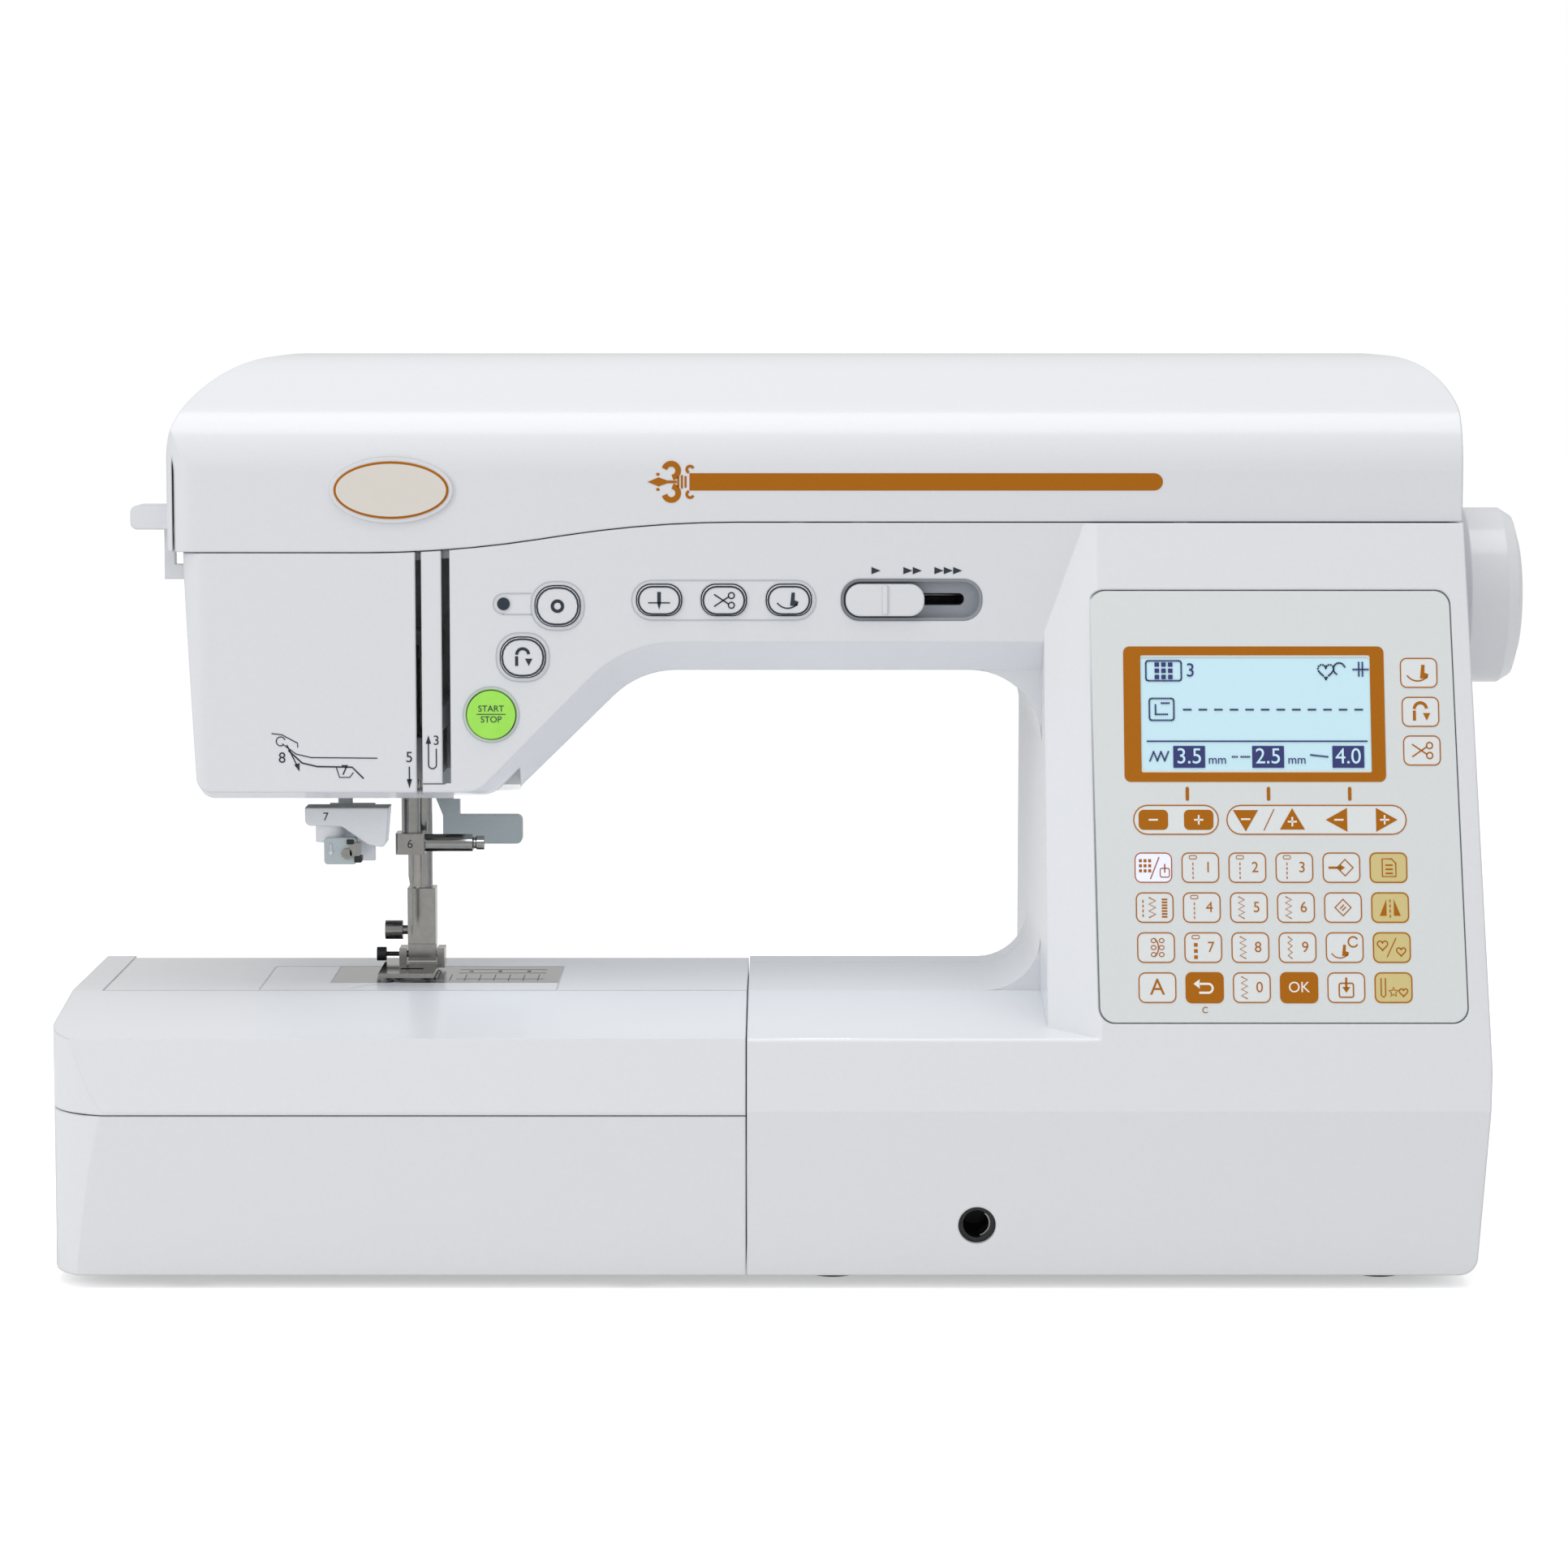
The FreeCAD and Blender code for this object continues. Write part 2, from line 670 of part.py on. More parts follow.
lid_inside = lid_form("lid_inside", "lid_wall", "10", {})
knuckles = []
ear_reliefs = []
ears = []
pins = []
for side in ("left", "right"):
    x = f"hinge_{side}_x"
    knuckles.append(
        rod(f"knuckle_{side}", "knuckle_radius", "knuckle_half * 2",
            (f"{x} - knuckle_half", "hinge_y", "hinge_height"), "X")
    )
    pins.append(
        rod(f"pin_{side}", "hinge_radius", "(knuckle_half + ear_width) * 2",
            (f"{x} - knuckle_half - ear_width", "hinge_y", "hinge_height"), "X")
    )
    for sign, start in (("inner", f"{x} - knuckle_half - ear_width"),
                        ("outer", f"{x} + knuckle_half + gap")):
        ear_low = (start, "back_y - 2", "seam_high - 12")
        ear_high = (f"{start} + ear_width - gap", "base_back_y", "seam_high")
        lug_low = (start, "back_y + gap", "seam_high - 1")
        lug_high = (f"{start} + ear_width - gap", "base_back_y", "hinge_height + 3.5")
        ears.append(block(f"ear_foot_{side}_{sign}", ear_low, ear_high))
        ears.append(block(f"ear_{side}_{sign}", lug_low, lug_high))
        ear_reliefs.append(
            rod(f"ear_relief_{side}_{sign}", "5.6", "ear_width + gap",
                (f"{start} - gap", "hinge_y", "hinge_height"), "X")
        )
lid_corner = corner_waste("lid_corner", "lid_left", "lid_corner_round", "seam_low - 5", "lid_top + 5")
lid_hollow = cut("lid_hollow", lid_outer, lid_inside, lid_corner, *ear_reliefs)
pin_run = [
    rod(f"pin_run_{side}", "hinge_radius + fit", "(knuckle_half + ear_width) * 2",
        (f"hinge_{side}_x - knuckle_half - ear_width", "hinge_y", "hinge_height"), "X")
    for side in ("left", "right")
]
node("lid", cut("lid", fuse("lid_with_knuckles", lid_hollow, *knuckles), *pin_run))
node("lid_hinge_pins", group("lid_hinge_pins", *pins))
rear_shell = doc.getObject("rear_cover")
node("rear_cover",
     cut("rear_cover_with_ears", fuse("rear_shell_and_ears", rear_shell, *ears), NODES["lid_hinge_pins"]))

# Extension table: slides off to the left, with a drop-down door on its accessory compartment.
FREE_ARM_EDGE = "free_arm_left - gap"


def tray_form(name, inset, floor):
    """The table's plan met by the base's front profile, drawn in by the inset."""
    plan = prism(
        name + "_plan", "XY_Plane",
        [
            (f"base_left + {inset}", "crease_y - 1"),
            (f"tray_split_x - gap - {inset}", "crease_y - 1"),
            (f"tray_split_x - gap - {inset}", f"bed_seam_y - gap - {inset}"),
            (f"{FREE_ARM_EDGE} - {inset}", f"bed_seam_y - gap - {inset}"),
            (f"{FREE_ARM_EDGE} - {inset}", f"bed_back_y - {inset}"),
            (f"base_left + {inset}", f"bed_back_y - {inset}"),
        ],
        floor, "bed_height",
        {0: f"tray_round - {inset}"},
    )
    profile = prism(
        name + "_profile", "YZ_Plane",
        [
            (f"skirt_bottom_y + {inset}", floor),
            (f"crease_y + {inset}", "crease_height"),
            (f"{BED_FRONT_Y} + {inset}", f"bed_height - bed_drop - {inset}"),
            ("bed_seam_y", f"bed_height - {inset}"),
            ("bed_back_y", f"bed_height - {inset}"),
            ("bed_back_y", floor),
        ],
        "base_left", "tray_split_x",
    )
    return common(name, plan, profile)


tray_outer = tray_form("tray_outer", "0", "foot_height")
compartment_plan = block(
    "compartment_zone", ("base_left", "crease_y", "foot_height + tray_wall"),
    ("tray_split_x", "bed_seam_y", "bed_height"),
)
compartment = common("compartment", tray_form("tray_inside", "tray_wall", "foot_height + tray_wall"),
                     compartment_plan)
door_zone = block("door_zone", ("base_left - 1", "crease_y - 1", "0"),
                  ("tray_split_x", "door_back_y", "tray_seam"))
sill_zone = block("sill_zone", ("base_left - 1", "crease_y - 1", "0"),
                  ("tray_split_x", "door_back_y + 3.4", "14"))
lugs = []
lug_notches = []
for side in ("left", "right"):
    x = f"lug_{side}_x"
    lugs.append(block(f"lug_arm_{side}", (x, "door_hinge_y - 3", "door_hinge_height - 2.2"),
                      (f"{x} + lug_width", "door_back_y + 10", "door_hinge_height + 3")))
    lugs.append(block(f"lug_foot_{side}", (x, "door_back_y + 4", "foot_height"),
                      (f"{x} + lug_width", "door_back_y + 10", "door_hinge_height")))
    lug_notches.append(block(f"lug_notch_{side}", (f"{x} - 1", "door_hinge_y - 3.6", "0"),
                             (f"{x} + lug_width + 1", "door_back_y + 1", "tray_seam - 30")))
door_pin = rod("door_pin_form", "door_pin_radius", "lug_right_x - lug_left_x + lug_width + 8",
               ("lug_left_x - 4", "door_hinge_y", "door_hinge_height"), "X")
door_pin_run = rod("door_pin_run", "door_pin_radius + fit", "lug_right_x - lug_left_x + lug_width + 8",
                   ("lug_left_x - 4", "door_hinge_y", "door_hinge_height"), "X")
tray_hollow = cut("tray_hollow", tray_outer, compartment, door_zone, sill_zone)
node("tray", cut("tray", fuse("tray_with_lugs", tray_hollow, *lugs), door_pin_run))
door_part = block("door_part", ("base_left - 1", "crease_y - 1", "0"),
                  ("tray_split_x", "door_back_y - gap", "tray_seam - gap"))
door_webs = [
    block(f"door_web_{name}", (start, "door_hinge_y - 6", "foot_height + tray_wall / 2"),
          (f"{start} + 4", "door_hinge_y + 3", "door_hinge_height + 3"))
    for name, start in (("left", "lug_left_x + lug_width + 4"), ("right", "lug_right_x - 8"))
]
door_skin = cut("door_skin", common("door_block", tray_outer, door_part), compartment, *lug_notches)
node("tray_door", cut("tray_door", fuse("door_with_webs", door_skin, *door_webs), door_pin))
node("door_hinge_pin", door_pin)


# Free arm: the narrow bed under the needle, hollow for the hook and the lower shaft.
def free_arm_form(name, inset, right):
    return prism(
        name, "YZ_Plane",
        [
            (f"bed_seam_y + {inset}", f"free_arm_low + {inset}"),
            (f"bed_seam_y + {inset}", f"bed_height - {inset}"),
            (f"bed_back_y - {inset}", f"bed_height - {inset}"),
            (f"bed_back_y - {inset}", f"free_arm_low + {inset}"),
        ],
        f"free_arm_left + {inset}", right,
        {0: "free_arm_round", 2: "free_arm_round", 3: "free_arm_round"},
    )


PLATE_FRONT_Y = "bed_seam_y + 2"
COVER_BACK_Y = "bed_seam_y + 17"
plate_recess = block("plate_recess",
                     ("plate_left - fit", f"{PLATE_FRONT_Y} - fit", "bed_height - plate_thick"),
                     ("plate_right + fit", "plate_back_y + fit", "bed_height + 1"))
hook_opening = block("hook_opening", ("plate_left + 10", "bed_seam_y + 5", "bed_height - wall - 3"),
                     ("plate_right - 8", "plate_back_y - 4", "bed_height + 1"))
bosses = [
    rod(f"arm_boss_{number}", "4", "beam_low - free_arm_low - wall / 2",
        (x, "(frame_front_y + frame_back_y) / 2", "free_arm_low + wall / 2"))
    for number, x in enumerate(("-180", "-60"))
]
free_arm_shell = cut("free_arm_shell", free_arm_form("free_arm_outer", "0", "tray_split_x - gap"),
                     free_arm_form("free_arm_inside", "wall", "tray_split_x + 1"), plate_recess,
                     hook_opening)
node("free_arm_cover", fuse("free_arm_cover", free_arm_shell, *bosses))

# Plates of the bed: a steel needle plate and the L-shaped bobbin cover round it.
plate_slot = block("plate_slot", ("needle_x - 4", "needle_y - 1", "bed_height - 5"),
                   ("needle_x + 4", "needle_y + 1", "bed_height + 1"))
needle_plate_form = block("needle_plate_form", ("plate_joint_x", COVER_BACK_Y, "bed_height - plate_thick"),
                          ("plate_right", "plate_back_y", "bed_height"))
node("needle_plate", cut("needle_plate", needle_plate_form, plate_slot))
cover_form = prism(
    "cover_form", "XY_Plane",
    [
        ("plate_left", PLATE_FRONT_Y),
        ("plate_right", PLATE_FRONT_Y),
        ("plate_right", f"{COVER_BACK_Y} - fit"),
        ("plate_joint_x - fit", f"{COVER_BACK_Y} - fit"),
        ("plate_joint_x - fit", "plate_back_y"),
        ("plate_left", "plate_back_y"),
    ],
    "bed_height - plate_thick", "bed_height",
)
node("bobbin_cover", cover_form)

# Cast frame inside the casing: post, arm beam, bed beam and the bearings that they carry.
frame_blocks = [
    block("post", ("post_left", "frame_front_y", "foot_height + wall * 2"),
          ("post_right", "frame_back_y", "beam_top")),
    block("arm_beam", ("frame_left", "frame_front_y", "beam_under"),
          ("column_right_top - 8", "frame_back_y", "beam_top")),
    block("bed_beam", ("-190", "frame_front_y", "beam_low"), ("post_right", "frame_back_y", "beam_high")),
    block("head_plate", ("frame_left", "frame_front_y", "bracket_low"),
          ("slit_right", "frame_back_y", "beam_under")),
    block("bar_guide", ("needle_x - 8", "needle_y - 8", "bracket_low"),
          ("presser_x + 8", "frame_front_y", "bracket_high")),
    block("presser_guide", ("presser_x - 7", "presser_y - 6", "beam_under - 9"),
          ("presser_x + 7", "frame_front_y", "beam_under")),
    block("deck_post", ("0", "frame_front_y", "beam_top"), ("60", "frame_back_y", "seam_high - wall")),
]
for number, x in enumerate(("-106", "120", "196")):
    frame_blocks.append(
        block(f"bearing_{number}",
              (f"{x} - bush_length / 2", "shaft_y - 11", "shaft_height - 11"),
              (f"{x} + bush_length / 2", "frame_front_y", "shaft_height + 11"))
    )
main_bore = rod("main_bore", "shaft_radius + fit", "400", ("-140", "shaft_y", "shaft_height"),
                "X")
needle_bore = rod("needle_bore", "needle_bar_radius + fit", "60",
                  ("needle_x", "needle_y", "bracket_low - 10"))
presser_bore = rod("presser_bore", "presser_bar_radius + fit", "80",
                   ("presser_x", "presser_y", "bracket_low - 10"))
pivot_bore = rod("pivot_bore", "2 + fit", "20",
                 ("presser_x + 4", "frame_front_y - 1", "lever_pivot_height"), "Y")
node("main_frame",
     cut("main_frame", fuse("frame_casting", *frame_blocks), main_bore, needle_bore, presser_bore,
         pivot_bore))

# Main shaft and handwheel, which turn together.
node("main_shaft",
     rod("main_shaft", "shaft_radius", "wheel_end - 4 + 118",
         ("-118", "shaft_y", "shaft_height"), "X"))
wheel_profile = [
    ("shaft_radius", "0"),
    ("wheel_radius - 5", "0"),
    ("wheel_radius", "4"),
    ("wheel_radius", "wheel_end - wheel_start - 6"),
    ("wheel_radius - 2.5", "wheel_end - wheel_start - 2"),
    ("wheel_radius - 9", "wheel_end - wheel_start"),
    ("wheel_radius - 12", "wheel_end - wheel_start"),
    ("wheel_radius - 14", "wheel_end - wheel_start - 3"),
    ("shaft_radius", "wheel_end - wheel_start - 3"),
]
node("handwheel",
     turned("handwheel", wheel_profile, ("wheel_start", "shaft_y", "shaft_height"), "X"))

# Needle bar with its clamp, clamp screw and needle.
node("needle_bar", rod("needle_bar", "needle_bar_radius", "needle_bar_high - clamp_low",
                       ("needle_x", "needle_y", "clamp_low")))
clamp_form = block("clamp_form", ("needle_x - clamp_half", "needle_y - clamp_half", "clamp_low"),
                   ("needle_x + clamp_half", "needle_y + clamp_half", "clamp_high"))
clamp_body = soften("clamp_body", clamp_form, "1", lambda e: along(e, 2))
node("needle_clamp", cut("needle_clamp", clamp_body, NODES["needle_bar"]))
screw_profile = [("0", "0"), ("3", "0"), ("3", "16"), ("2", "16.5"), ("2", "17"), ("2.4", "17.5"),
                 ("2.4", "20"), ("0", "20")]
node("needle_clamp_screw", turned("needle_clamp_screw", screw_profile,
                                  ("needle_x + clamp_half", "needle_y", "(clamp_low + clamp_high) / 2"),
                                  "X"))
needle_profile = [
    ("0", "needle_tip"),
    ("needle_radius * 0.7", "needle_tip + 4"),
    ("needle_radius * 0.7", "needle_tip + 18"),
    ("needle_radius * 1.3", "needle_tip + 21"),
    ("needle_radius * 1.3", "clamp_low"),
    ("0", "clamp_low"),
]
node("needle", turned("needle", needle_profile, ("needle_x", "needle_y", "0")))

# Presser bar, ankle and snap-on foot.
node("presser_bar", rod("presser_bar", "presser_bar_radius", "presser_bar_high - presser_bar_low",
                        ("presser_x", "presser_y", "presser_bar_low")))
ankle = block("ankle", ("presser_x - ankle_half", "presser_y - ankle_half", "foot_pin_height + 4"),
              ("presser_x + ankle_half", "presser_y + ankle_half", "ankle_high"))
tongue = block("tongue", ("presser_x - ankle_half", "presser_y - 3", "ankle_low"),
               ("presser_x + ankle_half", "presser_y + 3", "foot_pin_height + 5"))
foot_pin_run = rod("foot_pin_run", "foot_pin_radius + fit", "30",
                   ("presser_x - 15", "presser_y", "foot_pin_height"), "X")
node("foot_holder",
     cut("foot_holder", fuse("holder_form", ankle, tongue), NODES["presser_bar"], foot_pin_run))
node("holder_screw",
     turned("holder_screw",
            [("0", "0"), ("3.3", "0"), ("3.3", "6"), ("1.6", "6"), ("1.6", "8"), ("0", "8")],
                            ("presser_x - ankle_half - 8", "presser_y", "103"), "X"))
sole = block("sole", ("foot_left", "foot_toe_y", "foot_low"),
             ("foot_right", "foot_heel_y", "foot_low + 1.6"))
toe_slot = block("toe_slot", ("needle_x - 4", "needle_y - 2", "foot_low - 1"),
                 ("needle_x + 4", "needle_y + 2", "foot_low + 3"))
cheeks = [
    block("left_cheek", ("presser_x - ankle_half - 3", "presser_y - 5", "foot_low"),
          ("presser_x - ankle_half - gap", "presser_y + 5", "foot_pin_height + 2.5")),
    block("right_cheek", ("presser_x + ankle_half + gap", "presser_y - 5", "foot_low"),
          ("presser_x + ankle_half + 3", "presser_y + 5", "foot_pin_height + 2.5")),
]
foot_pin = rod("foot_pin", "foot_pin_radius", "ankle_half * 2 + 6",
               ("presser_x - ankle_half - 3", "presser_y", "foot_pin_height"), "X")
node("presser_foot", fuse("presser_foot", cut("open_sole", sole, toe_slot), *cheeks, foot_pin))
node("foot_button",
     turned("foot_button",
            [("0", "0"), ("2.4", "0"), ("2.4", "3.2"), ("0.8", "3.2"), ("0.8", "8"), ("0", "8")],
                           ("presser_x - ankle_half - 11", "presser_y", "foot_pin_height"), "X"))
lever_arm = prism(
    "lever_arm", "XZ_Plane",
    [
        ("presser_x + 5.2", "lever_height - lever_radius"),
        ("lever_end", "lever_height - lever_radius"),
        ("lever_end", "lever_height + lever_radius"),
        ("presser_x + 11", "lever_height + lever_radius"),
        ("presser_x + 11", "lever_pivot_height + 5"),
        ("presser_x - 1", "lever_pivot_height + 5"),
        ("presser_x - 1", "lever_pivot_height - 8"),
        ("presser_x + 5.2", "lever_height + lever_radius"),
    ],
    "frame_back_y + gap", "frame_back_y + gap + 6", {1: "2", 2: "2"},
)
lever_pin = rod("lever_pin", "2", "frame_back_y - frame_front_y + 2",
                ("presser_x + 4", "frame_front_y - 1", "lever_pivot_height"), "Y")
node("presser_lever", fuse("presser_lever", lever_arm, lever_pin))

# Needle threader: an outside thumb lever on a guide rod, and the unit that it lowers beside the needle.
GUIDE_X = "threader_guide_x"
LEVER_Y = "threader_lever_y"
lever_stem = block("lever_stem", ("lid_left - 4", f"{LEVER_Y} - 2", "stem_low"),
                   (GUIDE_X, f"{LEVER_Y} + 2", "stem_low + 5"))
lever_web = block("lever_web", ("lid_left - 4", f"{LEVER_Y} - 2", "stem_low"),
                  ("lid_left - gap", f"{LEVER_Y} + 2", "knob_low + 2"))
lever_knob = prism(
    "lever_knob", "XZ_Plane",
    [
        ("lid_left - knob_length", "knob_low"),
        ("lid_left - gap", "knob_low"),
        ("lid_left - gap", "knob_low + knob_height"),
        ("lid_left - knob_length", "knob_low + knob_height"),
    ],
    f"{LEVER_Y} - knob_width / 2", f"{LEVER_Y} + knob_width / 2",
    {0: "knob_height * 0.3", 3: "knob_height * 0.3"},
)
lever_sleeve = rod("lever_sleeve", "guide_radius * 2", "9", (GUIDE_X, LEVER_Y, "stem_low - 2"))
guide_hole = rod("guide_hole", "guide_radius + fit", "30", (GUIDE_X, LEVER_Y, "stem_low - 10"))
lever_form = fuse("threader_lever_form", lever_stem, lever_web, lever_knob, lever_sleeve)
node("threader_lever", cut("threader_lever", lever_form, guide_hole))
guide_foot = block("guide_foot", (f"{GUIDE_X} - 4", f"{LEVER_Y} - 3.5", "bracket_low + 6"),
                   ("frame_left", f"{LEVER_Y} + 3.5", "bracket_low + 12"))
guide_back = block("guide_back", ("frame_left - 8", f"{LEVER_Y} - 3.5", "bracket_low + 6"),
                   ("frame_left", "frame_back_y", "bracket_low + 12"))
guide_bar = rod("guide_bar", "guide_radius", "seam_low - wall - gap - bracket_low - 6",
                (GUIDE_X, LEVER_Y, "bracket_low + 6"))
unit_rod = rod("unit_rod", "2.5", "40", ("-155", "threader_y + 6", "147"))
unit_hole = rod("unit_hole", "2.5 + fit", "60", ("-155", "threader_y + 6", "150"))
node("threader_guide",
     cut("threader_guide", fuse("guide_form", guide_foot, guide_back, guide_bar), unit_hole))
unit_body = prism(
    "unit_body", "XZ_Plane",
    [("-167.4", "149.5"), ("-167.4", "143.5"), ("-155", "143.2"), ("-146", "137"), ("-140.4", "136"),
     ("-139.2", "149.5")],
    "threader_y - 8", "threader_y + 4", {1: "2", 4: "1.5"},
)
unit_cup = rod("unit_cup", "5", "7", ("-159.5", "threader_y - 1", "137.5"))
unit_plate = block("unit_plate", ("-160.3", "threader_y + 4", "130.2"),
                   ("-145", "threader_y + 8.5", "149.5"))
node("threader_unit", fuse("threader_unit", unit_body, unit_cup, unit_plate, unit_rod))

# Buttons and the speed slider on the front of the arm, each in a guide block behind the wall.
guide = prism(
    "guide", "XZ_Plane",
    [("-114", "172"), ("-100", "172"), ("-72", "209"), ("66", "209"), ("66", "231"), ("-114", "231")],
    "face_y + wall", "face_y + wall + 5",
)
guide_cuts = []
for name, (x, z, w, h) in BUTTONS.items():
    cap = capsule(f"{name}_cap", x, z, w, h, "face_y - button_proud", "face_y + wall + button_travel * 2")
    node(name, cap)
    guide_cuts.append(capsule(f"{name}_seat", x, z, f"{w} + gap * 2", f"{h} + gap * 2", "face_y",
                              "face_y + wall + 5.5"))
node("start_stop_button",
     rod("start_stop_button", "start_radius", "wall + button_proud + button_travel * 2",
                              (START_X, "face_y - button_proud", START_Z), "Y"))
guide_cuts.append(rod("start_seat", "start_radius + gap", "wall + 6", (START_X, "face_y", START_Z), "Y"))
TRACK_MID = "(track_left + track_right) / 2"
track_cup = capsule("track_cup", TRACK_MID, TRACK_Z, "track_right - track_left", "track_height",
                    "face_y + 1", "face_y + wall + 5")
track_floor = capsule("track_floor", TRACK_MID, TRACK_Z, "track_right - track_left - 2", "track_height - 2",
                      "face_y - 1", "face_y + wall + 1")
track_slot = capsule("track_slot", TRACK_MID, TRACK_Z, "track_right - track_left - 12", "4", "face_y",
                     "face_y + wall + 8")
node("slider_track", cut("slider_track", track_cup, track_floor, track_slot))
guide_cuts.append(capsule("track_seat", TRACK_MID, TRACK_Z, "track_right - track_left", "track_height",
                          "face_y", "face_y + wall + 5.5"))
SLIDER_X = "track_left + 1.6 + slider_width / 2"
slider_cap = capsule("slider_cap", SLIDER_X, TRACK_Z, "slider_width", "track_height - 3.4", "face_y - 1.5",
                     "face_y + wall + 0.7")
slider_stem = block("slider_stem", (f"{SLIDER_X} - 4", "face_y + wall", f"{TRACK_Z} - 1.7"),
                    (f"{SLIDER_X} + 2", "face_y + wall + 7", f"{TRACK_Z} + 1.7"))
node("speed_slider", fuse("speed_slider", slider_cap, slider_stem))
node("button_guide", cut("button_guide", guide, *guide_cuts))

# Control panel leaning with the column, and its glass screen.
SCREEN_OUTLINE = [("screen_left", "screen_high"), ("screen_left + 1", "screen_low"),
                  ("screen_right + 1", "screen_low"), ("screen_right", "screen_high")]
panel_form = panel_slice("panel_form", "0", "0", "panel_thick")
screen_pocket = panel_slice("screen_pocket", "0", "0 - 3", "panel_thick - 0.9", SCREEN_OUTLINE, "1.5")
node("control_panel", cut("control_panel", panel_form, screen_pocket))
node("lcd_screen", panel_slice("lcd_screen", "0", "0.2", "panel_thick - 0.9", SCREEN_OUTLINE, "1.5"))
node("control_board",
     panel_slice("control_board", "0 - 13", "panel_thick", "panel_thick + 1.6", rounds="1"))

# Fittings: lamps, knee lever socket, mains inlet and switch, deck, spool pin, winder and feet.
node("head_lamp",
     block("head_lamp", ("-116", "-50", "head_bottom + gap"), ("-94", "-30", "head_bottom + wall")))
node("arm_lamp", block("arm_lamp", ("-4", "-38", "arm_bottom + gap"), ("20", "-22", "arm_bottom + wall")))
socket_form = rod("socket_form", "knee_radius", "34", ("knee_x", "crease_y + 6", "knee_height"), "Y")
socket_bore = rod("socket_bore", "knee_radius - 1.6", "24", ("knee_x", "crease_y + 5", "knee_height"), "Y")
socket_flange = rod("socket_flange", "knee_radius + 4", "4", ("knee_x", "crease_y + 11.5", "knee_height"),
                    "Y")
node("knee_socket", cut("knee_socket", fuse("socket_body", socket_form, socket_flange), socket_bore))
inlet_form = block("inlet_form", ("base_right_low - 14", "-12", "26"),
                   ("base_right_low + 0.4", "20", "44"))
inlet_well = block("inlet_well", ("base_right_low - 10", "-9", "29"),
                   ("base_right + 2", "17", "41"))
node("power_inlet", cut("power_inlet", inlet_form, inlet_well))
node("power_switch",
     block("power_switch", ("base_right_low - 14", "-42", "28"),
           ("base_right_low + 1.6", "-20", "42")))
node("spool_pin", rod("spool_pin", "2.8", "72", ("20", "40", "seam_high + 14"), "X"))
node("spool_stand", block("spool_stand", ("92", "34", "seam_high"), ("98", "46", "seam_high + 22")))
node("bobbin_winder",
     turned("bobbin_winder", [("0", "0"), ("9", "0"), ("9", "3"), ("2.9", "3"), ("2.9", "16"), ("0", "16")],
                             ("150", "10", "seam_high")))
FEET = [("10", "-78"), ("190", "-78"), ("10", "82"), ("190", "82")]
node("rubber_feet", group("rubber_feet", *[
    turned(f"rubber_foot_{number}",
           [("0", "0"), ("feet_radius - 1", "0"), ("feet_radius", "1"),
            ("feet_radius", "foot_height + wall"), ("0", "foot_height + wall")], (x, y, "0"))
    for number, (x, y) in enumerate(FEET)
]))
node("tray_feet", group("tray_feet", *[
    turned(f"tray_foot_{number}", [("0", "0"), ("6", "0"), ("6", "foot_height"), ("0", "foot_height")],
           (x, "bed_seam_y - 12", "0"))
    for number, x in enumerate(("-225", "-40"))
]))
node("base_plate", block("base_plate", ("tray_split_x + wall + gap", "-88", "foot_height + wall"),
                         ("base_right_low - wall - 9", "base_back_y - 12",
                          "foot_height + wall * 2")))

doc.recompute()
for obj in doc.Objects:
    if "Invalid" in obj.State or "Error" in obj.State:
        raise RuntimeError(f"{obj.Name} did not build: {obj.State}")
for name, obj in NODES.items():
    if obj.Shape.isNull() or not obj.Shape.isValid():
        raise RuntimeError(f"{name} has no valid shape")
os.makedirs("parts", exist_ok=True)
for name, obj in NODES.items():
    obj.Shape.exportStep(f"parts/{name}.step")
print(len(NODES), "pieces written")
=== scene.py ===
import math

import bmesh
import bpy
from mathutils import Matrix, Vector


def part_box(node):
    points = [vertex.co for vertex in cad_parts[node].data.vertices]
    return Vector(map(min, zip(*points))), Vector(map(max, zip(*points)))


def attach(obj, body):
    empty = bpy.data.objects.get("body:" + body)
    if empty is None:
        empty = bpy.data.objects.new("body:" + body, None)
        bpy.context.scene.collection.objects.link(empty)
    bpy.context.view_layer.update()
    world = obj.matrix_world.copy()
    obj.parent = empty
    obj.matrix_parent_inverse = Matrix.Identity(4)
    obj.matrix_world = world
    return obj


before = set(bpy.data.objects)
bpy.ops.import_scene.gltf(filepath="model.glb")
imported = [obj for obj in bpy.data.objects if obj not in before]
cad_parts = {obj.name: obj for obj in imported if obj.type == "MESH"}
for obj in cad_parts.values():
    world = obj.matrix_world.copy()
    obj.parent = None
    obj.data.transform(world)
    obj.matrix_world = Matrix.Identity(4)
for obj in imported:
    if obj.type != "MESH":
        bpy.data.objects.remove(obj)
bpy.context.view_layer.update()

# Moulded casing, lid, table and free arm: white ABS with a high gloss, injection moulded in large shells.
# It reads as a clean cool white with soft reflections, a faint moulding ripple and rounded edges.
MM = 0.001
RIPPLE_DEPTH = 0.05


def linear(code):
    """An sRGB hex colour as linear red, green, blue and alpha."""
    parts = [int(code[i:i + 2], 16) / 255 for i in (1, 3, 5)]
    return [c / 12.92 if c <= 0.04045 else ((c + 0.055) / 1.055) ** 2.4 for c in parts] + [1.0]


def add(tree, kind, settings=None, links=None):
    """Adds a node, sets its inputs or properties and links other sockets to its inputs."""
    node = tree.nodes.new(kind)
    for name, value in (settings or {}).items():
        if name in node.inputs:
            node.inputs[name].default_value = value
        else:
            setattr(node, name, value)
    for name, socket in (links or {}).items():
        tree.links.new(socket, node.inputs[name])
    return node


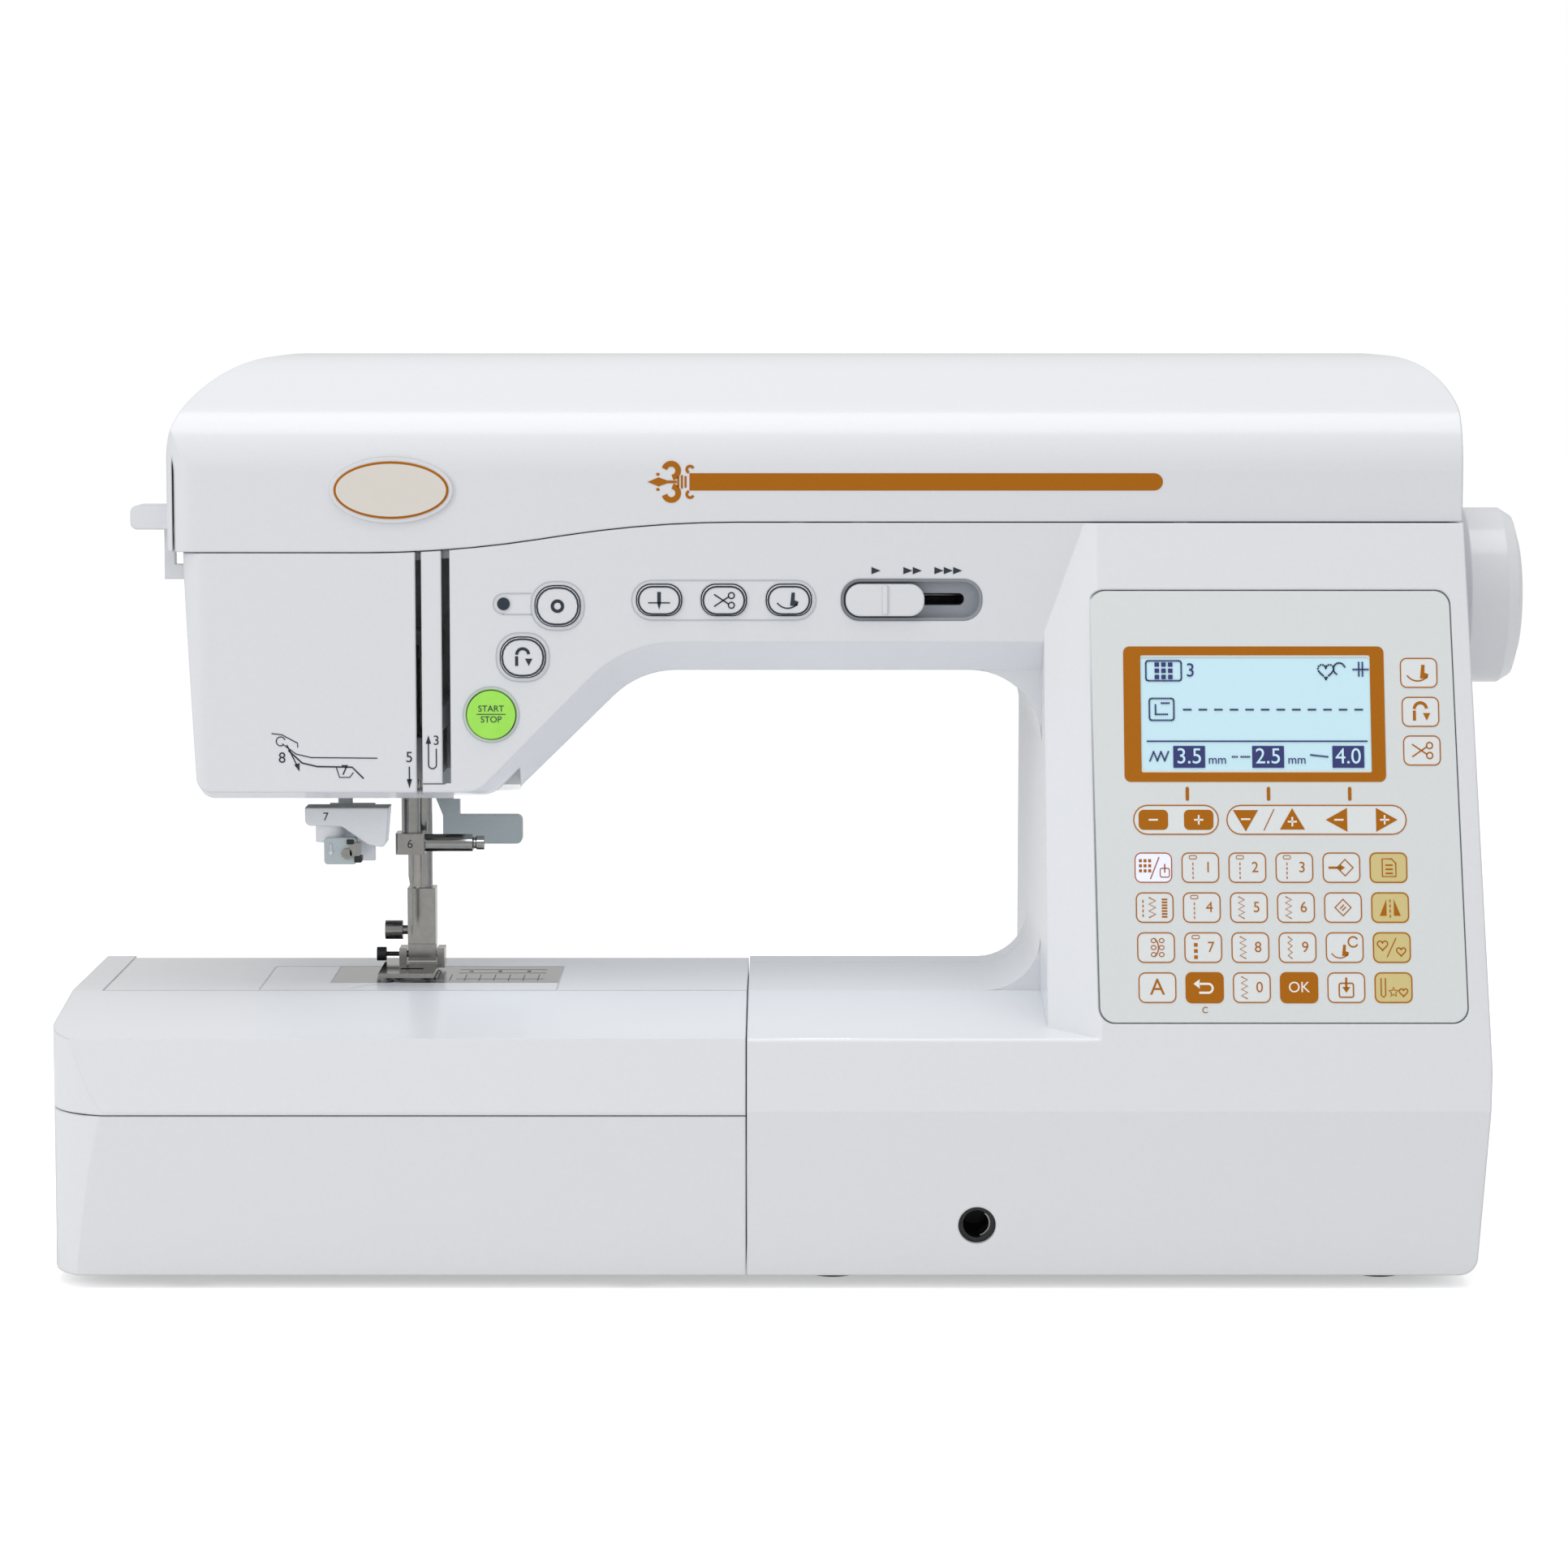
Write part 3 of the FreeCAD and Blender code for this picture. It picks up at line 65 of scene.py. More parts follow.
def finish(name, colour, shade, roughness, grain_mm, ripple, edge_mm=0.0, **shader):
    """A finish with two close tones, uneven gloss and a fine ripple, grain_mm across."""
    material = bpy.data.materials.new(name)
    material.use_nodes = True
    tree = material.node_tree
    surface = tree.nodes["Principled BSDF"]
    place = add(tree, "ShaderNodeTexCoord")
    noise = add(tree, "ShaderNodeTexNoise", {"Scale": 1 / (grain_mm * MM), "Detail": 3.0},
                {"Vector": place.outputs["Object"]})
    tone = add(tree, "ShaderNodeMix", {"data_type": "RGBA"}, {"Factor": noise.outputs["Fac"]})
    first_tone, second_tone, mixed_tone = tone.inputs[6], tone.inputs[7], tone.outputs[2]
    first_tone.default_value = linear(colour)
    second_tone.default_value = linear(shade)
    tree.links.new(mixed_tone, surface.inputs["Base Color"])
    gloss = add(tree, "ShaderNodeMapRange", {"To Min": roughness * 0.85, "To Max": roughness * 1.15},
                {"Value": noise.outputs["Fac"]})
    tree.links.new(gloss.outputs["Result"], surface.inputs["Roughness"])
    bump = add(tree, "ShaderNodeBump", {"Strength": ripple, "Distance": RIPPLE_DEPTH * MM},
               {"Height": noise.outputs["Fac"]})
    if edge_mm:
        rounded_edge = add(tree, "ShaderNodeBevel", {"Radius": edge_mm * MM, "samples": 6})
        tree.links.new(rounded_edge.outputs["Normal"], bump.inputs["Normal"])
    tree.links.new(bump.outputs["Normal"], surface.inputs["Normal"])
    for socket, value in shader.items():
        surface.inputs[socket.replace("_", " ")].default_value = value
    return material


def dress(material, *names):
    """Gives CAD pieces a finish."""
    for name in names:
        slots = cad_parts[name].data.materials
        slots.clear()
        slots.append(material)


white_abs = finish("white_gloss_abs", "#E4E6EA", "#E0E2E6", 0.24, 1.4, 0.02, edge_mm=1.1, Coat_Weight=0.25)
dress(white_abs, "front_cover", "rear_cover", "face_cover", "thread_guide_plate", "lid", "tray",
      "tray_door", "free_arm_cover", "needle_button", "cutter_button", "foot_lift_button",
      "lock_stitch_button", "reverse_button", "speed_slider", "threader_lever", "threader_unit",
      "handwheel", "bobbin_cover")

# Prints and inlays: screen-printed ink a tenth of a millimetre thick, and moulded grooves round the
# controls, drawn as thin grey strips that are painted shade. Each is drawn flat in millimetres and laid on
# the casing's front, the leaning panel or the bed.
INK_DEPTH, INK_SUNK = 0.12, 0.05
FONT_PER_CAP = 1.4
PANEL_THICK = 2.0
FACE_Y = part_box("face_cover")[0][1] / MM
PANEL_LOW, PANEL_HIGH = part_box("control_panel")
PANEL_LEAN = (PANEL_HIGH[1] - PANEL_THICK * MM - PANEL_LOW[1]) / (PANEL_HIGH[2] - PANEL_LOW[2])


def on_face(u, v, lift):
    """A place on the casing's front, lift millimetres proud of it."""
    return (u * MM, (FACE_Y - lift) * MM, v * MM)


def on_panel(u, v, lift):
    """A place on the leaning control panel."""
    run = PANEL_LOW[1] + (v * MM - PANEL_LOW[2]) * PANEL_LEAN
    return (u * MM, run - lift * MM, v * MM + lift * PANEL_LEAN * MM)


def round_box(x, z, wide, high, radius, steps=5):
    """Corner points of a rectangle with round corners, centred on x, z."""
    points = []
    for k, (sx, sz) in enumerate(((1, 1), (-1, 1), (-1, -1), (1, -1))):
        for i in range(steps + 1):
            turn = math.radians(90 * (k + i / steps))
            points.append((x + sx * (wide / 2 - radius) + radius * math.cos(turn),
                           z + sz * (high / 2 - radius) + radius * math.sin(turn)))
    return points


def band(path, width, closed=False):
    """Four-sided patches that follow a path."""
    count = len(path)
    rails = []
    for i, (x, z) in enumerate(path):
        before = path[i - 1] if closed or i else path[i]
        after = path[(i + 1) % count] if closed or i < count - 1 else path[i]
        dx, dz = after[0] - before[0], after[1] - before[1]
        size = math.hypot(dx, dz) or 1
        nx, nz = -dz / size * width / 2, dx / size * width / 2
        rails.append(((x + nx, z + nz), (x - nx, z - nz)))
    spans = range(count if closed else count - 1)
    return [[rails[i][0], rails[i][1], rails[(i + 1) % count][1], rails[(i + 1) % count][0]] for i in spans]


def arc(x, z, radius, start, end, steps=12):
    """Points along an arc between two angles in degrees."""
    turns = [math.radians(start + (end - start) * i / steps) for i in range(steps + 1)]
    return [(x + radius * math.cos(t), z + radius * math.sin(t)) for t in turns]


def letters(text, x, z, high):
    """The flat faces of a short line of text, centred on x, z."""
    curve = bpy.data.curves.new("letters", "FONT")
    curve.body = text
    curve.align_x = "CENTER"
    curve.align_y = "CENTER"
    curve.size = high * FONT_PER_CAP
    holder = bpy.data.objects.new("letters", curve)
    mesh = bpy.data.meshes.new_from_object(holder)
    corners = [(x + vertex.co.x, z + vertex.co.y) for vertex in mesh.vertices]
    faces = [[corners[i] for i in polygon.vertices] for polygon in mesh.polygons]
    bpy.data.objects.remove(holder)
    bpy.data.curves.remove(curve)
    bpy.data.meshes.remove(mesh)
    return faces


def lay(name, patches, surface, material, body, top=INK_DEPTH, sunk=INK_SUNK):
    """Thin closed prisms of the patches on a surface, as one piece that rides on a body."""
    mesh = bmesh.new()
    for patch in patches:
        low = [mesh.verts.new(surface(u, v, -sunk)) for u, v in patch]
        high = [mesh.verts.new(surface(u, v, top)) for u, v in patch]
        mesh.faces.new(high)
        mesh.faces.new(low[::-1])
        for i in range(len(patch)):
            k = (i + 1) % len(patch)
            mesh.faces.new((low[i], low[k], high[k], high[i]))
    bmesh.ops.recalc_face_normals(mesh, faces=mesh.faces)
    data = bpy.data.meshes.new(name)
    mesh.to_mesh(data)
    mesh.free()
    data.materials.append(material)
    piece = bpy.data.objects.new(name, data)
    bpy.context.collection.objects.link(piece)
    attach(piece, body)


navy_ink = finish("navy_screen_ink", "#1E2A38", "#232F3E", 0.45, 0.8, 0.02)
# Groove grey is painted shade: it stands for the shade inside the grooves round the controls and the seams
# round the needle plate.
groove_painted_shade = finish("moulded_groove_shade", "#C3C8CE", "#BBC0C6", 0.4, 0.8, 0.02)

# Lid trim: a bare oval badge with a bronze rim and domed cream resin, and a long bronze stripe
# that ends in a small scroll ornament. All are stuck on the front of the lid.
bronze = finish("bronze_print", "#B26A05", "#A96403", 0.5, 0.6, 0.06, Specular_IOR_Level=0.2)
cream = finish("domed_resin", "#E3DED6", "#DFDAD1", 0.12, 2.0, 0.01, Coat_Weight=0.6)
BADGE_X, BADGE_Z = -135.6, 257.3
BADGE_WIDE, BADGE_HIGH = 38.0, 19.0
BADGE_RINGS = (("badge_bezel", 3.0, 0.9, white_abs), ("badge_rim", 0.0, 1.2, bronze),
               ("badge_dome", -1.6, 1.45, cream))


def oval(x, z, wide, high, steps=56):
    """Points round an ellipse."""
    turns = [2 * math.pi * i / steps for i in range(steps)]
    return [(x + wide / 2 * math.cos(t), z + high / 2 * math.sin(t)) for t in turns]


for name, extra, top, material in BADGE_RINGS:
    ring = oval(BADGE_X, BADGE_Z, BADGE_WIDE + extra, BADGE_HIGH + extra)
    lay(name, [ring], on_face, material, "lid", top)
STRIPE_LEFT, STRIPE_RIGHT, STRIPE_Z, STRIPE_HIGH = -37.2, 119.0, 260.0, 5.7
stripe = [(STRIPE_LEFT, STRIPE_Z - STRIPE_HIGH / 2)]
stripe += arc(STRIPE_RIGHT - STRIPE_HIGH / 2, STRIPE_Z, STRIPE_HIGH / 2, -90, 90)
stripe += [(STRIPE_LEFT, STRIPE_Z + STRIPE_HIGH / 2)]
SCROLLS = ((arc(-43.2, 3.7, 2.3, -80, 165), 1.9), (arc(-37.0, 4.1, 1.1, 250, 20), 0.9))
SPEAR = ((-51.0, 0), (-47.4, -1.5), (-44.6, -0.5), (-41.4, -0.4), (-41.4, 0.4), (-44.6, 0.5), (-47.4, 1.5))
COLLARS, COLLAR_WIDE = ((-40.9, 1.7), (-39.7, 2.2), (-38.5, 1.9)), 0.7
ornament = [stripe]
for side in (1, -1):
    for path, width in SCROLLS:
        ornament += band([(x, STRIPE_Z + side * z) for x, z in path], width)
    ornament.append(oval(-47.6, STRIPE_Z + side * 2.5, 1.2, 1.0, 14))
ornament.append([(x, STRIPE_Z + z) for x, z in SPEAR])
for x, reach in COLLARS:
    ornament += band([(x, STRIPE_Z - reach), (x, STRIPE_Z + reach)], COLLAR_WIDE)
lay("lid_stripe", ornament, on_face, bronze, "lid")

# Front controls: five white push buttons with a dark printed outline and pictogram each, set in shallow
# moulded surrounds. They are small ABS caps guided behind the front cover.
BUTTON_TOP = 1.0
PILL_WIDE, PILL_INSET, PILL_LINE = 14.5, 0.9, 0.6
CONTROL_ROW_Z = 220.9
PILLS = {"needle_button": (-47.3, CONTROL_ROW_Z, 10.0), "cutter_button": (-25.9, CONTROL_ROW_Z, 10.0),
         "foot_lift_button": (-4.4, CONTROL_ROW_Z, 10.0), "lock_stitch_button": (-80.9, 219.0, 13.0),
         "reverse_button": (-92.5, 202.0, 13.0)}
START_X, START_Z, START_RING = -103.1, 182.9, 9.3
SENSOR_X, SENSOR_Z, SENSOR_WIDE = -98.8, 219.7, 4.2
GROOVE, ICON_LINE, BOLD_LINE = 0.5, 0.45, 1.0


def on_cap(u, v, lift):
    """A place on the flat top of a push button."""
    return on_face(u, v, lift + BUTTON_TOP)


def needle_icon(x, z):
    """A needle through a line of cloth."""
    return (band([(x - 3.6, z - 0.8), (x + 3.6, z - 0.8)], 0.4)
            + [[(x - 0.6, z + 2.8), (x - 0.6, z - 1), (x, z - 3), (x + 0.6, z - 1), (x + 0.6, z + 2.8)]])


def scissors_icon(x, z):
    """Two crossed blades with a finger ring each."""
    blades = [band([(x - 3.2, z + 2 * side), (x + 1.6, z - 1.2 * side)], ICON_LINE) for side in (1, -1)]
    rings = [band(arc(x + 2.5, z + 1.6 * side, 1.0, 0, 360), ICON_LINE) for side in (1, -1)]
    return sum(blades + rings, [])


def foot_icon(x, z):
    """A presser foot over a curve."""
    foot = ((0.4, -1.8), (2.8, -1.8), (3.2, -0.4), (1.9, 0), (2, 2.6), (0.9, 2.6))
    return band(arc(x - 0.4, z + 1.6, 4.2, 215, 320), ICON_LINE) + [[(x + u, z + v) for u, v in foot]]


def turn_icon(x, z):
    """A line that turns back down, ending in an arrow head."""
    stem = band([(x - 2, z - 2.8), (x - 2, z + 0.4)], BOLD_LINE)
    bend = band(arc(x, z + 0.9, 2.0, 180, 5), BOLD_LINE)
    return stem + bend + [[(x + 2, z - 2.8), (x + 3.2, z - 0.4), (x + 0.8, z - 0.4)]]


def ring_icon(x, z):
    """A plain ring."""
    return band(arc(x, z, 1.7, 0, 360, 24), 1.1)


ICONS = {"needle_button": needle_icon, "cutter_button": scissors_icon, "foot_lift_button": foot_icon,
         "lock_stitch_button": ring_icon, "reverse_button": turn_icon}
# The surrounds are grooves drawn as grey strips of painted shade.
surrounds = []
for name, wide, high, radius in (("cutter_button", 61, 13.2, 6.5), ("reverse_button", 17.6, 16.2, 7.2),
                                 ("lock_stitch_button", 17.6, 16.2, 7.2)):
    surrounds += band(round_box(*PILLS[name][:2], wide, high, radius), GROOVE, True)
sensor_end = arc(SENSOR_X, SENSOR_Z, 3.4, 270, 90)
surrounds += band([(-89.5, 216.2), (-99, 216.2)] + sensor_end + [(-89.5, 223.2)], GROOVE)
surrounds += band(arc(START_X, START_Z, START_RING, 0, 360, 40), GROOVE)
lay("control_surrounds", surrounds, on_face, groove_painted_shade, "frame")
for name, (x, z, high) in PILLS.items():
    edge = round_box(x, z, PILL_WIDE - PILL_INSET, high - PILL_INSET, high * 0.44)
    outline = band(edge, PILL_LINE, True)
    lay(f"{name}_print", outline + ICONS[name](x, z), on_cap, navy_ink, name)
sensor = oval(SENSOR_X, SENSOR_Z, SENSOR_WIDE, SENSOR_WIDE, 28)
lay("sensor_lens", [sensor], on_face, navy_ink, "frame", 0.5)

# Start and stop button: a round translucent green ABS cap, moulded in one piece and lit from behind.
# Its two words are printed either side of a thin line. It slides in a guide behind the front cover.
green_abs = finish("lit_green_abs", "#A5E65C", "#93DA48", 0.2, 5.0, 0.01, Coat_Weight=0.3,
                   Emission_Strength=0.12, Emission_Color=linear("#9BE64E"))
dress(green_abs, "start_stop_button")
WORD_HIGH, RULE_REACH, RULE_RISE = 2.1, 4.8, 0.2
words = letters("START", START_X, START_Z + 2.0, WORD_HIGH)
words += letters("STOP", START_X, START_Z - 1.6, WORD_HIGH)
words += band([(START_X + side * RULE_REACH, START_Z + RULE_RISE) for side in (-1, 1)], 0.25)
lay("start_stop_print", words, on_cap, navy_ink, "start_stop_button")

# Speed slider: a white ABS cap with a raised grip line, in a track of grey satin ABS let into the front
# cover. The speed arrows above it are printed on the cover.
grey_abs = finish("grey_satin_abs", "#9CA1A8", "#949AA1", 0.4, 1.2, 0.04, edge_mm=0.5)
dress(grey_abs, "slider_track")
SLIDER_X, SLIDER_Z, SLIDER_TOP = 27.4, 221.1, 1.5
ARROW_GROUPS, ARROW_STEP, ARROW_LONG = (24.3, 36.4, 48.2), 3.1, 3.0


def on_slider(u, v, lift):
    """A place on the flat top of the slider's cap."""
    return on_face(u, v, lift + SLIDER_TOP)


lay("slider_grip", [round_box(SLIDER_X, SLIDER_Z, 2.0, 10, 0.8)], on_slider, white_abs, "speed_slider",
    0.5)
arrows = []
for group, x in enumerate(ARROW_GROUPS):
    for i in range(group + 1):
        left = x + (i - group / 2) * ARROW_STEP - 1.4
        arrows.append([(left, 229.5), (left + ARROW_LONG, 230.7), (left, 231.9)])
lay("speed_arrows", arrows, on_face, navy_ink, "frame")

# Threading marks on the face cover and the guide plate: route numbers, arrows and a small sketch of
# the thread's way, printed in navy ink on the white ABS.
THREAD_LINE = 0.35
marks = letters("5", -130.4, 168.6, 3.6) + band([(-130.4, 165.6), (-130.4, 160.6)], 0.45)
marks += [[(-131.3, 161.4), (-129.5, 161.4), (-130.4, 158.4)]]
marks += letters("8", -172.6, 168.4, 3.6) + letters("7", -151.9, 164.3, 3.4)
marks += band([(-176, 176.6), (-172.6, 176.2), (-167.4, 173.4), (-167.4, 172)], THREAD_LINE)
marks += band(arc(-173, 174, 1.5, 20, 300), THREAD_LINE)
marks += band([(-172.5, 173.2), (-168, 169.8), (-163, 168.6), (-141, 168.4)], THREAD_LINE)
marks += band([(-170.5, 171), (-166, 166.8), (-161, 165.6), (-149.4, 165.4), (-145.6, 161.6)], 0.5)
marks += band([(-154.6, 165.2), (-153.6, 162), (-150.2, 162), (-149, 163.6)], THREAD_LINE)
marks += band([(-171, 172.8), (-167.6, 165.8)], 0.4) + [[(-168.6, 166.2), (-166.8, 166.8), (-166.9, 164)]]
lay("threading_marks", marks, on_face, navy_ink, "frame")
hook = [(-124, 173.6), (-124, 166.4)] + arc(-122.7, 166.2, 1.3, 180, 360)
hook += [(-121.4, 166.2), (-121.4, 171.6)]
guide = letters("3", -121.4, 174.2, 3.2) + band(hook, 0.4)
guide += [[(-124.9, 173.2), (-123.1, 173.2), (-124, 176)]]
lay("guide_plate_marks", guide, on_face, navy_ink, "frame")

# Control panel: a pale grey polyester membrane, stuck on the leaning column and printed in bronze.
# Its keys are outlined fields of pale or tan ink, or of a pale ink with a painted glow, with a digit or a
# pictogram each.
panel_skin = finish("panel_membrane", "#E0E4E5", "#DADFE0", 0.33, 1.0, 0.03, edge_mm=0.5)
dress(panel_skin, "control_panel")
tan_ink = finish("tan_key_ink", "#D9C98C", "#D3C283", 0.4, 0.8, 0.02)
pale_ink = finish("pale_key_ink", "#E6EAEA", "#E1E5E6", 0.35, 0.8, 0.02)
white_ink = finish("white_key_ink", "#F4F2EC", "#EFEDE6", 0.4, 0.8, 0.02)
# One key's fill glows by its own emission with no lamp behind it: a painted glow.
painted_glow_ink = finish("painted_glow_key_ink", "#EEF0FF", "#E2E6FF", 0.35, 2.0, 0.01, Emission_Strength=0.25,
                 Emission_Color=linear("#C8CEFF"))
KEY_WIDE, KEY_HIGH, KEY_ROUND = 12.4, 9.8, 2.0
KEY_INSET, KEY_LINE, HAIR_LINE, THICK_LINE = 0.5, 0.4, 0.35, 0.7
COLUMNS, ROWS, TAN_COLUMN = 6, 4, 5
COLUMN_X, COLUMN_STEP, ROW_SHIFT = 114.2, 15.3, 0.27
ROW_Z, ROW_STEP = 135.9, 12.63
bronze_print, key_fill, tan_fill, painted_glow_fill, white_print = [], [], [], [], []


def key_at(column, row):
    """The middle of a key."""
    return COLUMN_X + column * COLUMN_STEP + row * ROW_SHIFT, ROW_Z - row * ROW_STEP


def key_outline(x, z):
    """The printed edge of a key."""
    edge = round_box(x, z, KEY_WIDE - KEY_INSET, KEY_HIGH - KEY_INSET, KEY_ROUND)
    return band(edge, KEY_LINE, True)


def zigzag(x, z, wide, high, teeth):
    """Points that swing from side to side on the way down."""
    reach = wide / 2
    return [(x + (reach if i % 2 else -reach), z + high / 2 - high * i / teeth) for i in range(teeth + 1)]


def dashes(x, low, high, count, width=KEY_LINE):
    """An upright broken line."""
    step = (high - low) / count
    spans = [[(x, low + i * step), (x, low + (i + 0.6) * step)] for i in range(count)]
    return [patch for span in spans for patch in band(span, width)]


DIGIT_HIGH = 3.4
DIGITS = {(1 + i % 3, i // 3): str(i + 1) for i in range(9)}
DIGITS[(2, 3)] = "0"
FILLED = {(1, 3), (3, 3)}
for column in range(COLUMNS):
    for row in range(ROWS):
        x, z = key_at(column, row)
        shape = round_box(x, z, KEY_WIDE, KEY_HIGH, KEY_ROUND)
        if (column, row) in FILLED:
            bronze_print.append(shape)
            continue
        if column == TAN_COLUMN:
            tan_fill.append(shape)
        elif (column, row) == (0, 0):
            painted_glow_fill.append(shape)
        else:
            key_fill.append(shape)
        bronze_print += key_outline(x, z)
for (column, row), digit in DIGITS.items():
    x, z = key_at(column, row)
    stitch_x = x - 2.4
    bronze_print += letters(digit, x + 2.5, z, DIGIT_HIGH)
    if row == 0 or (column, row) in ((1, 1), (1, 2)):
        count, width = (4, HAIR_LINE) if row < 2 else (3, 1.2)
        bronze_print += dashes(stitch_x, z - 3.6, z + 2.2, count, width)
        bronze_print += band(round_box(stitch_x, z + 3.3, 2.4, 1.1, 0.5), 0.25, True)
    else:
        swing = 2.0 if column < 3 or row == 1 else 1.4
        bronze_print += band(zigzag(stitch_x, z, swing, 7, 7), HAIR_LINE)


def diamond(x, z, reach):
    """The outline of a square on its corner."""
    return band([(x - reach, z), (x, z + reach), (x + reach, z), (x, z - reach)], 0.5, True)


def heart(x, z, size):
    """Points round a heart."""
    points = []
    for i in range(24):
        t = 2 * math.pi * i / 24
        rise = 13 * math.cos(t) - 5 * math.cos(2 * t) - 2 * math.cos(3 * t) - math.cos(4 * t)
        points.append((x + 16 * math.sin(t) ** 3 * size / 32, z + rise * size / 32))
    return points


# Key with the painted glow: nine squares, a slanted stroke and a small box with a pin.
x, z = key_at(0, 0)
for i in range(9):
    bronze_print.append(round_box(x - 4.2 + (i % 3) * 1.5, z + 2.2 - (i // 3) * 1.6, 1.0, 1.0, 0.1, 1))
bronze_print += band([(x - 1, z - 3.6), (x + 1.9, z + 3.4)], KEY_LINE)
bronze_print += band(round_box(x + 3.7, z - 1.6, 3.0, 2.8, 0.6), HAIR_LINE, True)
bronze_print += band([(x + 3.7, z - 1.6), (x + 3.7, z + 1.2)], ICON_LINE)
# Left column: utility stitches, a leaf stem and the letter key.
x, z = key_at(0, 1)
bronze_print += dashes(x - 3.8, z - 3, z + 3, 4) + band(zigzag(x - 0.8, z, 2.2, 6.4, 6), KEY_LINE)
bronze_print += dashes(x + 3.2, z - 3.2, z + 3.2, 7, 1.8)
x, z = key_at(0, 2)
bronze_print += band(arc(x - 3, z, 3.8, -50, 50), KEY_LINE)
for i in range(3):
    for side in (1, -1):
        leaf = oval(x + side * 1.3 + 0.5, z - 2.2 + i * 2.2, 1.6, 1.3, 14)
        bronze_print += band(leaf, 0.3, True)
x, z = key_at(0, 3)
bronze_print += letters("A", x, z, 5.2)
# Memory column: two diamonds, a foot with a curl and an arrow into a box.
DIAMOND, SMALL_FOOT = 2.6, 0.8
x, z = key_at(4, 0)
bronze_print += diamond(x + 1.2, z, DIAMOND) + band([(x - 4.2, z), (x - 0.2, z)], THICK_LINE)
bronze_print += [[(x - 0.6, z + 1.1), (x + 1.2, z), (x - 0.6, z - 1.1)]]
x, z = key_at(4, 1)
bronze_print += diamond(x, z, DIAMOND) + band([(x - 1, z - 0.4), (x + 0.3, z + 0.9)], KEY_LINE)
bronze_print += band([(x - 0.3, z - 1), (x + 0.9, z + 0.2)], KEY_LINE)
x, z = key_at(4, 2)
for patch in foot_icon(0, 0):
    bronze_print.append([(u * SMALL_FOOT + x - 1.2, v * SMALL_FOOT + z - 1.2) for u, v in patch])
bronze_print += band(arc(x + 2.8, z + 1.8, 1.6, 30, 330), 0.5)
x, z = key_at(4, 3)
bronze_print += band(round_box(x, z - 0.8, 4.6, 4.4, 0.6), ICON_LINE, True)
bronze_print += band([(x, z + 3.2), (x, z - 0.2)], THICK_LINE)
bronze_print += [[(x - 1.3, z + 0.2), (x, z - 1.6), (x + 1.3, z + 0.2)]]
# Tan column: a sheet of lines, a mirrored pair, two hearts, and a needle with a star and a heart.
x, z = key_at(5, 0)
bronze_print += band([(x - 2, z + 2.8), (x + 1, z + 2.8), (x + 2.4, z + 1.4), (x + 2.4, z - 2.8),
                      (x - 2, z - 2.8)], ICON_LINE, True)
for i in range(3):
    line_z = z + 0.8 - i * 1.3
    bronze_print += band([(x - 1, line_z), (x + 1.4, line_z)], 0.5)
x, z = key_at(5, 1)
bronze_print += [[(x - 1.2, z + 2.6), (x - 1.2, z - 2.6), (x - 3.4, z - 2.6)],
                 [(x + 1.2, z + 2.6), (x + 3.4, z - 2.6), (x + 1.2, z - 2.6)]]
bronze_print += dashes(x, z - 3.2, z + 3.2, 4)
x, z = key_at(5, 2)
bronze_print += band(heart(x - 3, z + 0.8, 3.4), KEY_LINE, True)
bronze_print += band(heart(x + 3, z - 1.2, 3.0), KEY_LINE, True)
bronze_print += band([(x - 1.6, z - 3), (x + 1.4, z + 3)], HAIR_LINE)
x, z = key_at(5, 3)
STAR_OUT, STAR_IN = 1.6, 0.7
star = []
for i in range(10):
    reach, turn = (STAR_IN if i % 2 else STAR_OUT), math.pi * i / 5
    star.append((x + reach * math.sin(turn), z - 1.4 + reach * math.cos(turn)))
bronze_print += band(star, HAIR_LINE, True) + band(heart(x + 3.2, z - 1.4, 2.8), KEY_LINE, True)
bronze_print += band([(x - 4, z + 3), (x - 4, z - 2.4), (x - 3.2, z - 3), (x - 2.6, z - 2.4),
                      (x - 2.6, z + 3)], KEY_LINE)
# Filled keys: a return arrow and the confirming key, both in white on bronze.
x, z = key_at(1, 3)
back = [(x - 1.8, z + 1.2), (x + 1.2, z + 1.2)] + arc(x + 1.2, z - 0.2, 1.4, 90, -90)
white_print += band(back + [(x - 1.8, z - 1.6)], THICK_LINE)
white_print += [[(x - 1.6, z + 2.7), (x - 3.6, z + 1.2), (x - 1.6, z - 0.3)]]
bronze_print += letters("C", x, z - 7.1, 2.0)
x, z = key_at(3, 3)
white_print += letters("OK", x, z, DIGIT_HIGH)

# Adjusting keys under the screen: two outlined pills of pale ink on the same membrane, with minus, plus
# and arrow shapes in bronze. A short bronze tick above them points to each value on the screen.
PILL_Z, SIGN_REACH, SIGN_LINE = 151.1, 1.5, 0.55
PILL_SPANS = ((121.8, 28.0), (167.6, 58.8))
key_fill += [round_box(x, PILL_Z, wide, 9.6, 4.6) for x, wide in PILL_SPANS]
for x, wide in PILL_SPANS:
    bronze_print += band(round_box(x, PILL_Z, wide - 0.4, 9.2, 4.5), KEY_LINE, True)
bronze_print += [round_box(114.4, PILL_Z, 9.6, 6.4, 1.6), round_box(129.2, PILL_Z, 9.6, 6.4, 1.6)]
bronze_print += [[(140.4, PILL_Z + 3.1), (144.5, PILL_Z - 3.7), (148.6, PILL_Z + 3.1)],
                 [(155.6, PILL_Z - 3.1), (163.8, PILL_Z - 3.1), (159.7, PILL_Z + 3.7)],
                 [(170.6, PILL_Z), (177.6, PILL_Z - 3.8), (177.6, PILL_Z + 3.8)],
                 [(187.0, PILL_Z + 3.8), (187.0, PILL_Z - 3.8), (194.0, PILL_Z)]]
bronze_print += band([(150.4, PILL_Z - 3.4), (153.8, PILL_Z + 3.4)], HAIR_LINE)


def minus(x, z):
    """A short level stroke."""
    return band([(x - SIGN_REACH, z), (x + SIGN_REACH, z)], SIGN_LINE)


